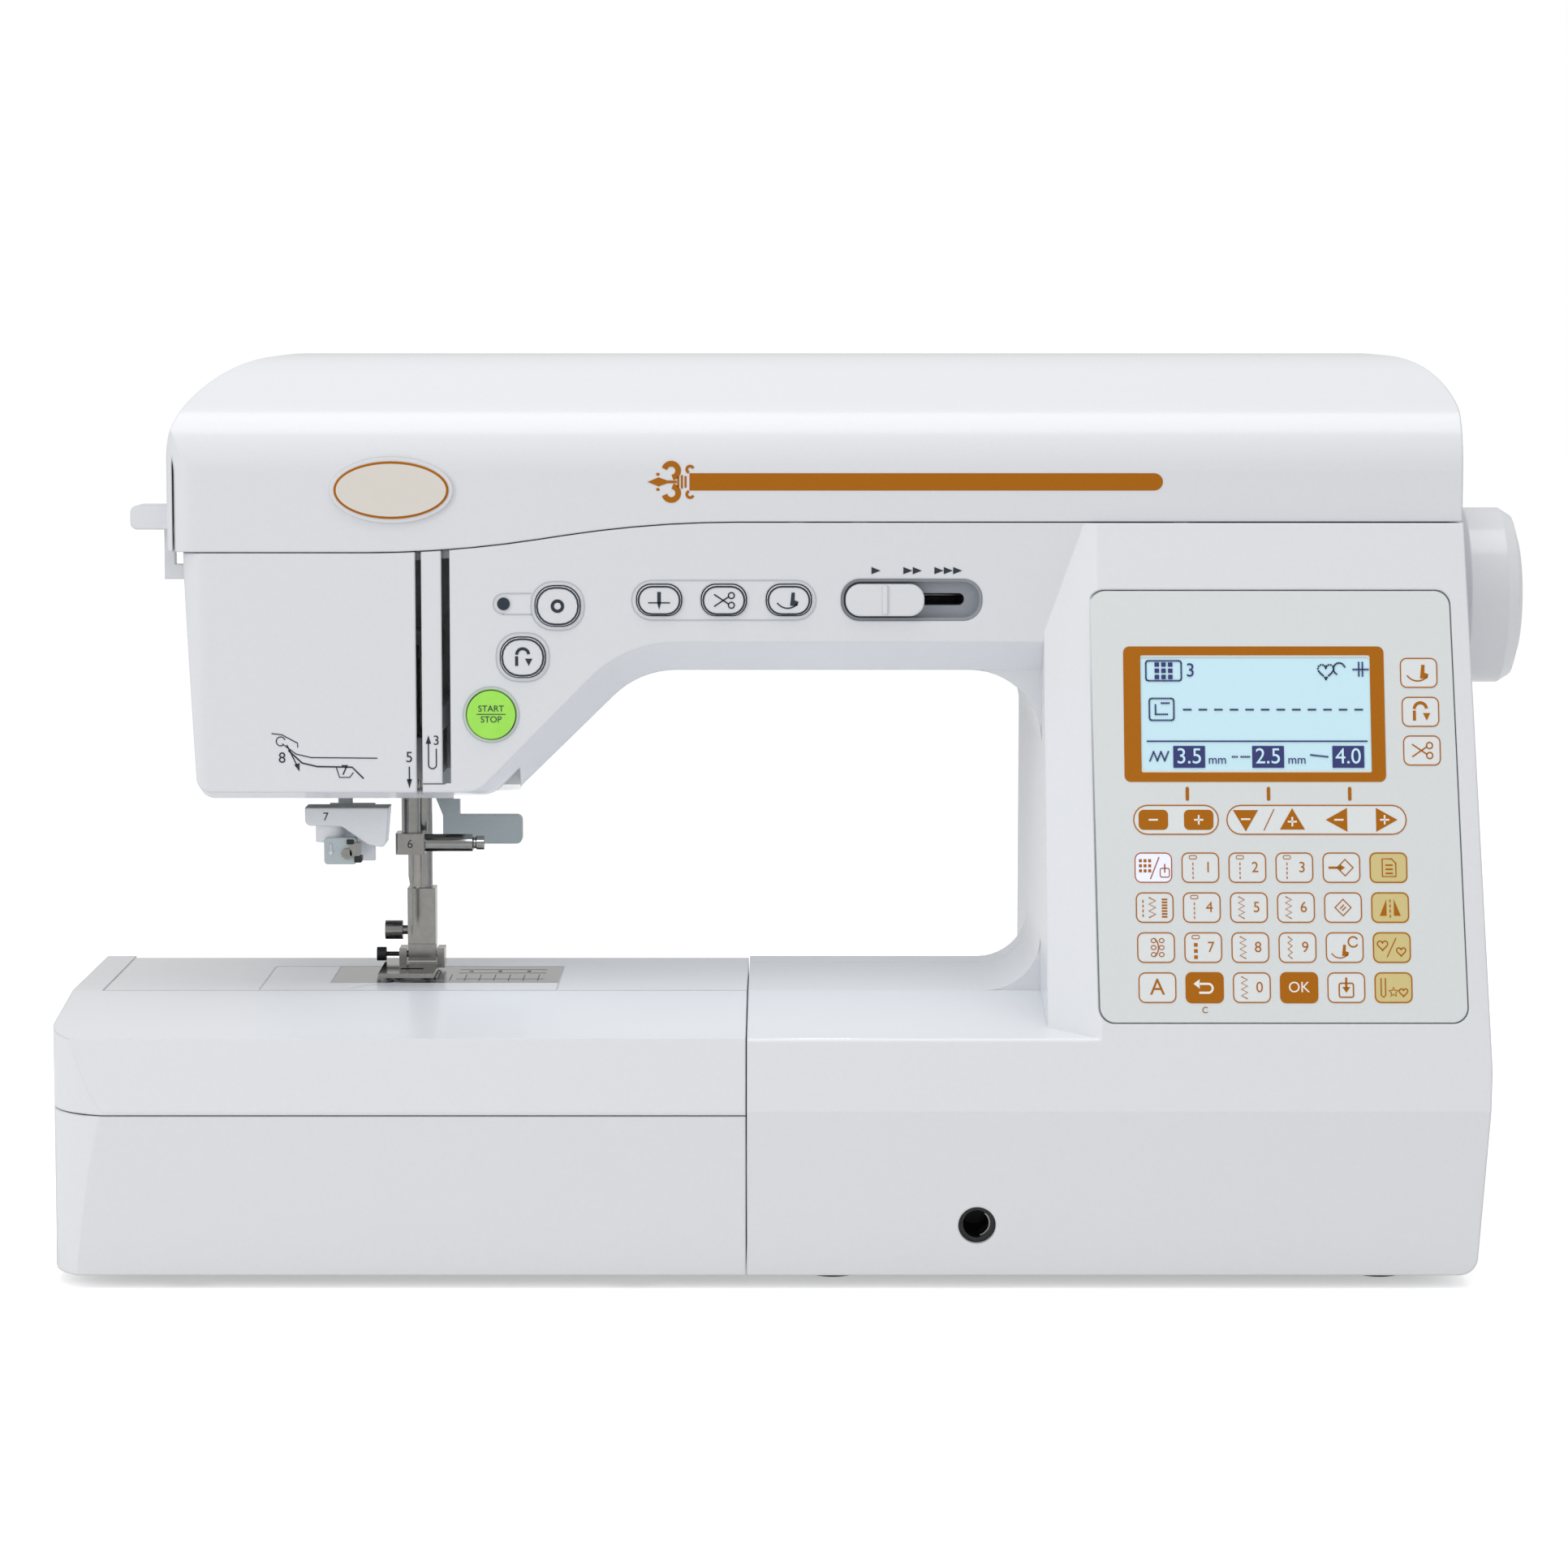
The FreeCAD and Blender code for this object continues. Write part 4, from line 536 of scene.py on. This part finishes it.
for x, z in ((114.4, PILL_Z), (144.5, PILL_Z + 0.2), (174.9, PILL_Z)):
    white_print += minus(x, z)
for x, z in ((129.2, PILL_Z), (159.7, PILL_Z - 0.6), (189.8, PILL_Z)):
    white_print += minus(x, z) + band([(x, z - SIGN_REACH), (x, z + SIGN_REACH)], SIGN_LINE)
for x in (125.6, 152.1, 178.6):
    bronze_print += [round_box(x, 159.4, 1.1, 4.4, 0.5)]

# Side keys: three keys of the same membrane beside the screen, for the foot, the reverse stitch and the
# cutter. The panel's inks are laid after them: the keys' fills lowest, then bronze, then white.
FILL_TOP, WHITE_TOP = 0.06, 0.16
SIDE_KEYS = ((202.0, 198.1, foot_icon), (202.3, 185.6, turn_icon), (202.5, 173.2, scissors_icon))
for x, z, icon in SIDE_KEYS:
    key_fill.append(round_box(x, z, KEY_WIDE, KEY_HIGH, KEY_ROUND))
    bronze_print += key_outline(x, z) + icon(x, z)
lay("key_fills", key_fill, on_panel, pale_ink, "frame", FILL_TOP)
lay("tan_key_fills", tan_fill, on_panel, tan_ink, "frame", FILL_TOP)
lay("painted_glow_key_fill", painted_glow_fill, on_panel, painted_glow_ink, "frame", FILL_TOP)
lay("panel_print", bronze_print, on_panel, bronze, "frame")
lay("panel_white_print", white_print, on_panel, white_ink, "frame", WHITE_TOP)

# Screen: a backlit liquid crystal display of glass behind the membrane's window, inside a bronze printed
# border. It shows dark navy figures made of square dots, and three values in reverse.
screen_glow = finish("backlit_liquid_crystal", "#C4E4EE", "#BEE0EC", 0.12, 0.5, 0.01,
                     Emission_Strength=0.14, Emission_Color=linear("#C9EBF4"))
dress(screen_glow, "lcd_screen")
border_out = round_box(147.9, 184.9, 85.4, 43.4, 2.0)
border_in = round_box(148.4, 185.0, 75.2, 37.6, 0.6)
border = []
for i in range(len(border_out)):
    k = (i + 1) % len(border_out)
    border.append([border_out[i], border_out[k], border_in[k], border_in[i]])
lay("screen_border", border, on_panel, bronze, "frame")
display_ink = finish("liquid_crystal_ink", "#2C3470", "#333B78", 0.3, 0.5, 0.01)
PIXEL, PIXEL_FILL = 0.62, 0.86
HEAD_Z, STITCH_Z, RULE_Z, VALUE_Z = 198.8, 186.3, 176.2, 171.2


def dots(path):
    """Square dots a pixel apart along a path."""
    patches = []
    for (x0, z0), (x1, z1) in zip(path, path[1:]):
        count = max(1, round(math.hypot(x1 - x0, z1 - z0) / PIXEL))
        for i in range(count + 1):
            x, z = x0 + (x1 - x0) * i / count, z0 + (z1 - z0) * i / count
            patches.append(round_box(x, z, PIXEL * PIXEL_FILL, PIXEL * PIXEL_FILL, 0.02, 1))
    return patches


figures = []
for icon_frame in (round_box(118.4, HEAD_Z, 11.6, 6.4, 0.8, 2), round_box(117.6, 186.4, 8, 7, 0.8, 2)):
    figures += dots(icon_frame + icon_frame[:1])
for i in range(9):
    figures.append(round_box(116.2 + (i % 3) * 2.2, 200.8 - (i // 3) * 2, 1.5, 1.4, 0.05, 1))
figures += letters("3", 127.2, HEAD_Z, 4.4)
heart_path = heart(171.6, HEAD_Z, 5.2)
figures += dots(heart_path + heart_path[:1]) + dots(arc(176, 199.4, 1.9, 20, 240))
figures += dots([(180.6, 199.2), (185.4, 199.2)])
for x in (182.4, 183.6):
    figures += dots([(x, 201.4), (x, 197.2)])
figures += dots([(115.6, 187.8), (115.6, 184.8), (119.4, 184.8)]) + dots([(117.6, 188.4), (120, 188.4)])
for i in range(12):
    figures.append(round_box(126 + i * 5.1, STITCH_Z, 2.8, 0.55, 0.05, 1))
figures += band([(112.6, RULE_Z), (184.8, RULE_Z)], ICON_LINE)
figures += dots([(113.6 + i * 1.2, VALUE_Z + (1.6 if i % 2 else -1.2)) for i in range(6)])
figures += dots([(140.6, VALUE_Z), (142, VALUE_Z)]) + dots([(143.4, VALUE_Z), (146, VALUE_Z)])
figures += dots([(166.2, 171.8), (171.6, VALUE_Z)])
inverse = []
for x, value in ((126.4, "3.5"), (152.2, "2.5"), (178.4, "4.0")):
    figures.append(round_box(x, VALUE_Z, 10.4, 7.0, 0.1, 1))
    inverse += letters(value, x, VALUE_Z, 5.0)
for x in (135.6, 161.6):
    figures += letters("mm", x, 170.2, 2.8)
lay("screen_figures", figures, on_panel, display_ink, "frame", FILL_TOP)
lay("screen_values", inverse, on_panel, screen_glow, "frame")

# Needle gear: bright plated steel for the bars, clamp, screws and foot, turned and stamped,
# and black plastic for the foot's button. The bars slide in the cast frame.
steel = finish("nickel_plated_steel", "#A3A29F", "#8E8D8A", 0.14, 2.0, 0.02, edge_mm=0.25, Metallic=1.0)
dress(steel, "needle_bar", "needle_clamp", "needle_clamp_screw", "needle", "presser_bar", "foot_holder",
      "holder_screw", "presser_foot", "needle_plate", "main_shaft", "lid_hinge_pins", "door_hinge_pin",
      "spool_pin")
black_abs = finish("black_satin_abs", "#14161A", "#1A1C20", 0.4, 0.8, 0.04, edge_mm=0.3)
dress(black_abs, "foot_button", "power_inlet", "power_switch", "knee_socket")
pale_grey = finish("pale_grey_satin_abs", "#BCC6C9", "#B5C0C3", 0.34, 1.0, 0.03, edge_mm=0.5)
dress(pale_grey, "presser_lever", "threader_guide", "spool_stand", "bobbin_winder", "button_guide",
      "base_plate")
CLIP_INSIDE, CLIP_RADIUS = 4.0, 4.25
KNEE_LOW, KNEE_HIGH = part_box("knee_socket")
KNEE_X, KNEE_Z = (KNEE_LOW[0] + KNEE_HIGH[0]) / 2 / MM, (KNEE_LOW[2] + KNEE_HIGH[2]) / 2 / MM


def in_socket(u, v, lift):
    """A place in the knee lever's socket, CLIP_INSIDE millimetres behind its front."""
    return (u * MM, KNEE_LOW[1] + (CLIP_INSIDE - lift) * MM, v * MM)


spring_clip = band(arc(KNEE_X, KNEE_Z, CLIP_RADIUS, -75, 50), 0.6)
lay("knee_spring_clip", spring_clip, in_socket, steel, "frame", 2.5, 6)
NEEDLE_X = -133.3
CLAMP_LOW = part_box("needle_clamp")[0]


def on_clamp(u, v, lift):
    """A place on the front of the needle clamp."""
    return (u * MM, CLAMP_LOW[1] - lift * MM, v * MM)


lay("clamp_number", letters("6", NEEDLE_X, 135.4, 3.0), on_clamp, navy_ink, "needle_bar")
THREADER_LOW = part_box("threader_unit")[0]


def on_cup(u, v, lift):
    """A place on the front of the threader's cup."""
    return (u * MM, THREADER_LOW[1] - lift * MM, v * MM)


lay("threader_number", letters("7", -160.4, 146.4, 2.8), on_cup, navy_ink, "threader_unit")

# Needle threader's working end: a pale guide plate with an arrow, a steel hook wheel and a black spring
# clip, riveted under the white cup. They go down with it when the lever is pressed.
BLOCK_LOW, BLOCK_INSIDE = THREADER_LOW[2] / MM, 1.2


def on_block(u, v, lift):
    """A place on the block under the cup, with heights from the block's foot."""
    return (u * MM, THREADER_LOW[1] + (BLOCK_INSIDE - lift) * MM, (BLOCK_LOW + v) * MM)


plate = round_box(-155.6, 4.6, 11, 9, 1.2)
lay("threader_plate", [plate], on_block, pale_grey, "threader_unit", 0.8, 4)
arrow = band([(-158.8, 7.4), (-158.8, 4.6)], 0.8) + [[(-160, 4.6), (-157.6, 4.6), (-158.8, 2.6)]]
lay("threader_arrow", arrow, on_block, white_abs, "threader_unit", 1.0, -0.7)
hook_wheel = [oval(-153.4, 3.8, 3.6, 3.6, 24), round_box(-150.6, 5.2, 3.6, 4.6, 0.8)]
lay("threader_hook", hook_wheel, on_block, steel, "threader_unit", 1.6, 3)
clip = [round_box(-152.2, 7.8, 2.4, 1.6, 0.3), round_box(-149.6, 1.9, 2.6, 2.2, 0.5)]
lay("threader_clip", clip, on_block, black_abs, "threader_unit", 1.9, 3)

# Mains fittings on the right side: two flat steel pins stand in the inlet's well, and the switch's rocker
# carries its on and off marks as thin white ABS inlays.
WELL_DEPTH, PIN_REACH, PIN_ROOT = 9.4, 7.0, 1.0
MARK_REACH = 5.0
INLET_LOW, INLET_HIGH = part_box("power_inlet")
INLET_Y, INLET_Z = (INLET_LOW[1] + INLET_HIGH[1]) / 2 / MM, (INLET_LOW[2] + INLET_HIGH[2]) / 2 / MM
SWITCH_LOW, SWITCH_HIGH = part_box("power_switch")
SWITCH_Y, SWITCH_Z = (SWITCH_LOW[1] + SWITCH_HIGH[1]) / 2 / MM, (SWITCH_LOW[2] + SWITCH_HIGH[2]) / 2 / MM


def in_well(u, v, lift):
    """A place in the floor of the inlet's well."""
    return (INLET_HIGH[0] + (lift - WELL_DEPTH - PIN_ROOT) * MM, u * MM, v * MM)


def on_switch(u, v, lift):
    """A place on the outer side of the switch."""
    return (SWITCH_HIGH[0] + lift * MM, u * MM, v * MM)


pins = [round_box(INLET_Y + side * MARK_REACH, INLET_Z, 2.2, 4.0, 0.6) for side in (1, -1)]
lay("inlet_pins", pins, in_well, steel, "frame", PIN_REACH, 0.5)
switch_marks = band([(SWITCH_Y + MARK_REACH, SWITCH_Z + z) for z in (-2, 2)], 0.7)
switch_marks += band(arc(SWITCH_Y - MARK_REACH, SWITCH_Z, 2.0, 0, 360, 20), 0.6)
lay("switch_marks", switch_marks, on_switch, white_abs, "frame", 0.1)

# Needle plate: plated steel, engraved with seam guide lines and slotted for the feed teeth. Its slots are
# drawn as black patches on its top, painted shade where the holes are dark. The bobbin cover beside it is
# white ABS. Both lie flush in the bed, with fine seams round them drawn as grey strips of painted shade.
PLATE_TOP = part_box("needle_plate")[1][2]
SLOT_PLACES = (-141.5, -137.8, -128.8, -125.2)
ENGRAVED_LINE, ENGRAVED_TOP = 0.3, 0.05


def on_bed(u, v, lift):
    """A place on the bed, level with the needle plate's top."""
    return (u * MM, v * MM, PLATE_TOP + lift * MM)


engraving_and_slot_shade = []
for i in range(7):
    engraving_and_slot_shade += band([(-120 + i * 5, -22), (-120 + i * 5, -8)], ENGRAVED_LINE)
for y in (-18, -4, 4):
    engraving_and_slot_shade += band([(-118, y), (-88, y)], ENGRAVED_LINE)
# Slots for the feed teeth: black patches that are painted shade for the holes.
for x in SLOT_PLACES:
    long = 22 if abs(x - NEEDLE_X) < 6 else 14
    engraving_and_slot_shade.append(round_box(x, -8, 2.2, long, 0.8))
for mark, x in (("4", -114), ("5", -104), ("6", -94)):
    engraving_and_slot_shade += letters(mark, x, 0, 2.6)
lay("plate_engraving_and_slot_shade", engraving_and_slot_shade, on_bed, black_abs, "frame", ENGRAVED_TOP)
# Seams round the needle plate and the bobbin cover: grey strips that are painted shade in the gaps.
plate_seam = band([(-182.5, -42), (-182.5, 12), (-82.5, 12), (-82.5, -42)], 0.5)
plate_seam += band([(-160, 12), (-160, -27)], 0.4) + band(arc(-120, -60, 38, 150, 62, 20), 0.45)
lay("needle_plate_seam_shade", plate_seam, on_bed, groove_painted_shade, "frame", ENGRAVED_TOP)

# Feed teeth: plated steel ridges that rise through the plate's slots, one row of fine teeth in each.
# A row is a line of small four-sided cones, made once and set into the four slots as one piece.
TEETH, TEETH_PITCH, TEETH_FRONT = 11, 1.5, -15.5
TOOTH_TIP, TOOTH_FOOT, TOOTH_HIGH = 0.0003, 0.0009, 0.0006
tree = bpy.data.node_groups.new("feed_teeth", "GeometryNodeTree")
tree.interface.new_socket("Geometry", in_out="OUTPUT", socket_type="NodeSocketGeometry")
pitch_socket = tree.interface.new_socket("Pitch", in_out="INPUT", socket_type="NodeSocketFloat")
line = add(tree, "GeometryNodeMeshLine", {"Count": TEETH})
inputs = add(tree, "NodeGroupInput")
offset = add(tree, "ShaderNodeCombineXYZ", {}, {"Y": inputs.outputs["Pitch"]})
tree.links.new(offset.outputs["Vector"], line.inputs["Offset"])
tooth = add(tree, "GeometryNodeMeshCone",
            {"Vertices": 4, "Radius Top": TOOTH_TIP, "Radius Bottom": TOOTH_FOOT, "Depth": TOOTH_HIGH})
copies = add(tree, "GeometryNodeInstanceOnPoints", {},
             {"Points": line.outputs["Mesh"], "Instance": tooth.outputs["Mesh"]})
real = add(tree, "GeometryNodeRealizeInstances", {}, {"Geometry": copies.outputs["Instances"]})
painted = add(tree, "GeometryNodeSetMaterial", {"Material": steel}, {"Geometry": real.outputs["Geometry"]})
add(tree, "NodeGroupOutput", {}, {"Geometry": painted.outputs["Geometry"]})
holder = bpy.data.objects.new("teeth_holder", bpy.data.meshes.new("teeth_holder"))
bpy.context.collection.objects.link(holder)
modifier = holder.modifiers.new("teeth", "NODES")
modifier.node_group = tree
modifier[pitch_socket.identifier] = TEETH_PITCH * MM
row_mesh = bpy.data.meshes.new_from_object(holder.evaluated_get(bpy.context.evaluated_depsgraph_get()))
bpy.data.objects.remove(holder)
rows = bmesh.new()
for x in SLOT_PLACES:
    before = len(rows.verts)
    rows.from_mesh(row_mesh)
    rows.verts.ensure_lookup_table()
    for vert in rows.verts[before:]:
        vert.co.x += x * MM
        vert.co.y += TEETH_FRONT * MM
        vert.co.z += PLATE_TOP
teeth_mesh = bpy.data.meshes.new("feed_teeth")
rows.to_mesh(teeth_mesh)
rows.free()
teeth_mesh.materials.append(steel)
feed_teeth = bpy.data.objects.new("feed_teeth", teeth_mesh)
bpy.context.collection.objects.link(feed_teeth)
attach(feed_teeth, "frame")

# Casing screws: plated steel cross-head screws that hold the rear cover to the cast frame.
# One head stands in each of the cover's bosses, sunk a little into it, with a black cross of painted shade
# in its top.
SCREW_SINK = 0.55
HEAD_RADIUS, HEAD_HIGH = 0.0032, 0.0016
CROSS_RECESS_SHADE = ((0.0040, 0.0008, 0.0018), (0.0008, 0.0040, 0.00184))
SCREW_TURN = (math.pi / 2, 0.5, 0)
SCREW_PLACES = ((202, 228), (96, 228), (-40, 226), (-176, 214), (202, 84), (100, 84))
rear_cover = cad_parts["rear_cover"]
points_mesh = bpy.data.meshes.new("screw_points")
hits = [rear_cover.ray_cast((x * MM, 1.0, z * MM), (0, -1, 0))[1] for x, z in SCREW_PLACES]
points_mesh.from_pydata([(x, y - SCREW_SINK * MM, z) for x, y, z in hits], [], [])
screw_tree = bpy.data.node_groups.new("casing_screws", "GeometryNodeTree")
screw_tree.interface.new_socket("Geometry", in_out="INPUT", socket_type="NodeSocketGeometry")
screw_tree.interface.new_socket("Geometry", in_out="OUTPUT", socket_type="NodeSocketGeometry")
points = add(screw_tree, "NodeGroupInput")
head = add(screw_tree, "GeometryNodeMeshCylinder",
           {"Vertices": 24, "Radius": HEAD_RADIUS, "Depth": HEAD_HIGH})
plated = add(screw_tree, "GeometryNodeSetMaterial", {"Material": steel}, {"Geometry": head.outputs["Mesh"]})
joined = add(screw_tree, "GeometryNodeJoinGeometry")
# The cross is two black bars through the head: painted shade where the recess is dark.
for size in CROSS_RECESS_SHADE:
    slot_bar = add(screw_tree, "GeometryNodeMeshCube", {"Size": size})
    recess_shade = add(screw_tree, "GeometryNodeSetMaterial", {"Material": black_abs},
               {"Geometry": slot_bar.outputs["Mesh"]})
    screw_tree.links.new(recess_shade.outputs["Geometry"], joined.inputs["Geometry"])
screw_tree.links.new(plated.outputs["Geometry"], joined.inputs["Geometry"])
screws = add(screw_tree, "GeometryNodeInstanceOnPoints", {"Rotation": SCREW_TURN},
             {"Points": points.outputs["Geometry"], "Instance": joined.outputs["Geometry"]})
solid_screws = add(screw_tree, "GeometryNodeRealizeInstances", {},
                   {"Geometry": screws.outputs["Instances"]})
add(screw_tree, "NodeGroupOutput", {}, {"Geometry": solid_screws.outputs["Geometry"]})
screw_holder = bpy.data.objects.new("screw_holder", points_mesh)
bpy.context.collection.objects.link(screw_holder)
screw_holder.modifiers.new("screws", "NODES").node_group = screw_tree
evaluated = screw_holder.evaluated_get(bpy.context.evaluated_depsgraph_get())
screw_mesh = bpy.data.meshes.new_from_object(evaluated)
bpy.data.objects.remove(screw_holder)
casing_screws = bpy.data.objects.new("casing_screws", screw_mesh)
bpy.context.collection.objects.link(casing_screws)
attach(casing_screws, "frame")

# Inner and lower pieces: the cast aluminium frame that carries the bars and the shaft, a green circuit
# board behind the panel, moulded rubber feet under the base and the tray, and two frosted lamp windows.
cast_aluminium = finish("cast_aluminium", "#A9ABAD", "#9B9DA0", 0.5, 1.5, 0.15, Metallic=0.9)
dress(cast_aluminium, "main_frame")
board = finish("solder_mask_board", "#1F5A38", "#1A5232", 0.4, 1.0, 0.03)
dress(board, "control_board")
rubber = finish("black_rubber", "#24262A", "#1D1F23", 0.8, 0.8, 0.2)
dress(rubber, "rubber_feet", "tray_feet")
lamp = finish("frosted_lamp_window", "#FAFBFB", "#F4F6F6", 0.4, 0.8, 0.03, Emission_Strength=0.6,
              Emission_Color=linear("#FFFFFF"))
dress(lamp, "head_lamp", "arm_lamp")

# Stage: a pale floor that runs back without a visible edge, soft white light from all round, one large
# lamp above, one at the front left and the machine's own two, and the camera at the photograph's place.
FLOOR_REACH, FLOOR_GLOW = 8, 0.45
SKY_LIGHT, SKY_SEEN = 0.62, 1.0
floor_mesh = bpy.data.meshes.new("floor")
corners = [(FLOOR_REACH * x, FLOOR_REACH * y, 0) for x, y in ((-1, -1), (1, -1), (1, 1), (-1, 1))]
floor_mesh.from_pydata(corners, [], [(0, 1, 2, 3)])
floor = bpy.data.objects.new("floor", floor_mesh)
bpy.context.collection.objects.link(floor)
paper = bpy.data.materials.new("white_paper")
paper.use_nodes = True
paper_tree = paper.node_tree
matte = paper_tree.nodes["Principled BSDF"]
matte.inputs["Base Color"].default_value = linear("#F4F4F4")
matte.inputs["Roughness"].default_value = 0.9
matte.inputs["Specular IOR Level"].default_value = 0.1
rays = add(paper_tree, "ShaderNodeLightPath")
white = add(paper_tree, "ShaderNodeEmission", {"Color": linear("#FFFFFF"), "Strength": FLOOR_GLOW})
both = add(paper_tree, "ShaderNodeAddShader")
paper_tree.links.new(matte.outputs["BSDF"], both.inputs[0])
paper_tree.links.new(white.outputs["Emission"], both.inputs[1])
mixed = add(paper_tree, "ShaderNodeMixShader", {}, {"Fac": rays.outputs["Is Camera Ray"]})
paper_tree.links.new(matte.outputs["BSDF"], mixed.inputs[1])
paper_tree.links.new(both.outputs["Shader"], mixed.inputs[2])
paper_tree.links.new(mixed.outputs["Shader"], paper_tree.nodes["Material Output"].inputs["Surface"])
floor_mesh.materials.append(paper)
world = bpy.data.worlds.new("studio")
bpy.context.scene.world = world
world.use_nodes = True
sky_tree = world.node_tree
sky_rays = add(sky_tree, "ShaderNodeLightPath")
seen = add(sky_tree, "ShaderNodeMath", {"operation": "MAXIMUM"})
sky_tree.links.new(sky_rays.outputs["Is Camera Ray"], seen.inputs[0])
sky_tree.links.new(sky_rays.outputs["Is Transmission Ray"], seen.inputs[1])
level = add(sky_tree, "ShaderNodeMapRange", {"To Min": SKY_LIGHT, "To Max": SKY_SEEN},
            {"Value": seen.outputs["Value"]})
sky = sky_tree.nodes["Background"]
sky.inputs["Color"].default_value = linear("#FFFFFF")
sky_tree.links.new(level.outputs["Result"], sky.inputs["Strength"])


def softbox(name, place, target, size, power, tint="#FFFFFF"):
    """An area lamp that faces a target."""
    light = bpy.data.lights.new(name, "AREA")
    light.shape = "RECTANGLE"
    light.size, light.size_y = size
    light.energy = power
    light.color = linear(tint)[:3]
    lamp_object = bpy.data.objects.new(name, light)
    bpy.context.collection.objects.link(lamp_object)
    lamp_object.location = place
    aim = [t - p for t, p in zip(target, place)]
    yaw = math.atan2(aim[0], aim[1])
    drop = math.atan2(math.hypot(aim[0], aim[1]), -aim[2])
    lamp_object.rotation_euler = (drop, 0, -yaw)


softbox("top_softbox", place=(0.0, -0.25, 1.5), target=(0, 0, 0.2), size=(1.6, 0.9), power=9)
for name, power in (("head_lamp", 0.009), ("arm_lamp", 0.02)):
    low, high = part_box(name)
    x, y = (low[0] + high[0]) / 2, (low[1] + high[1]) / 2
    softbox(f"{name}_light", place=(x, y, low[2] - 2 * MM), target=(x, y, 0), size=(0.022, 0.016),
            power=power, tint="#E2F0FF")
softbox("left_softbox", place=(-1.5, -1.1, 0.9), target=(0, 0, 0.15), size=(0.8, 1.2), power=7)
camera_data = bpy.data.cameras.new("camera")
camera_data.lens = 106.68
camera_data.sensor_width = 36
camera = bpy.data.objects.new("camera", camera_data)
bpy.context.collection.objects.link(camera)
camera.location = (-0.006, -1.590, 0.3195)
camera.rotation_euler = (math.radians(84.06), 0, 0)
bpy.context.scene.camera = camera
bpy.context.scene.view_settings.view_transform = "Standard"
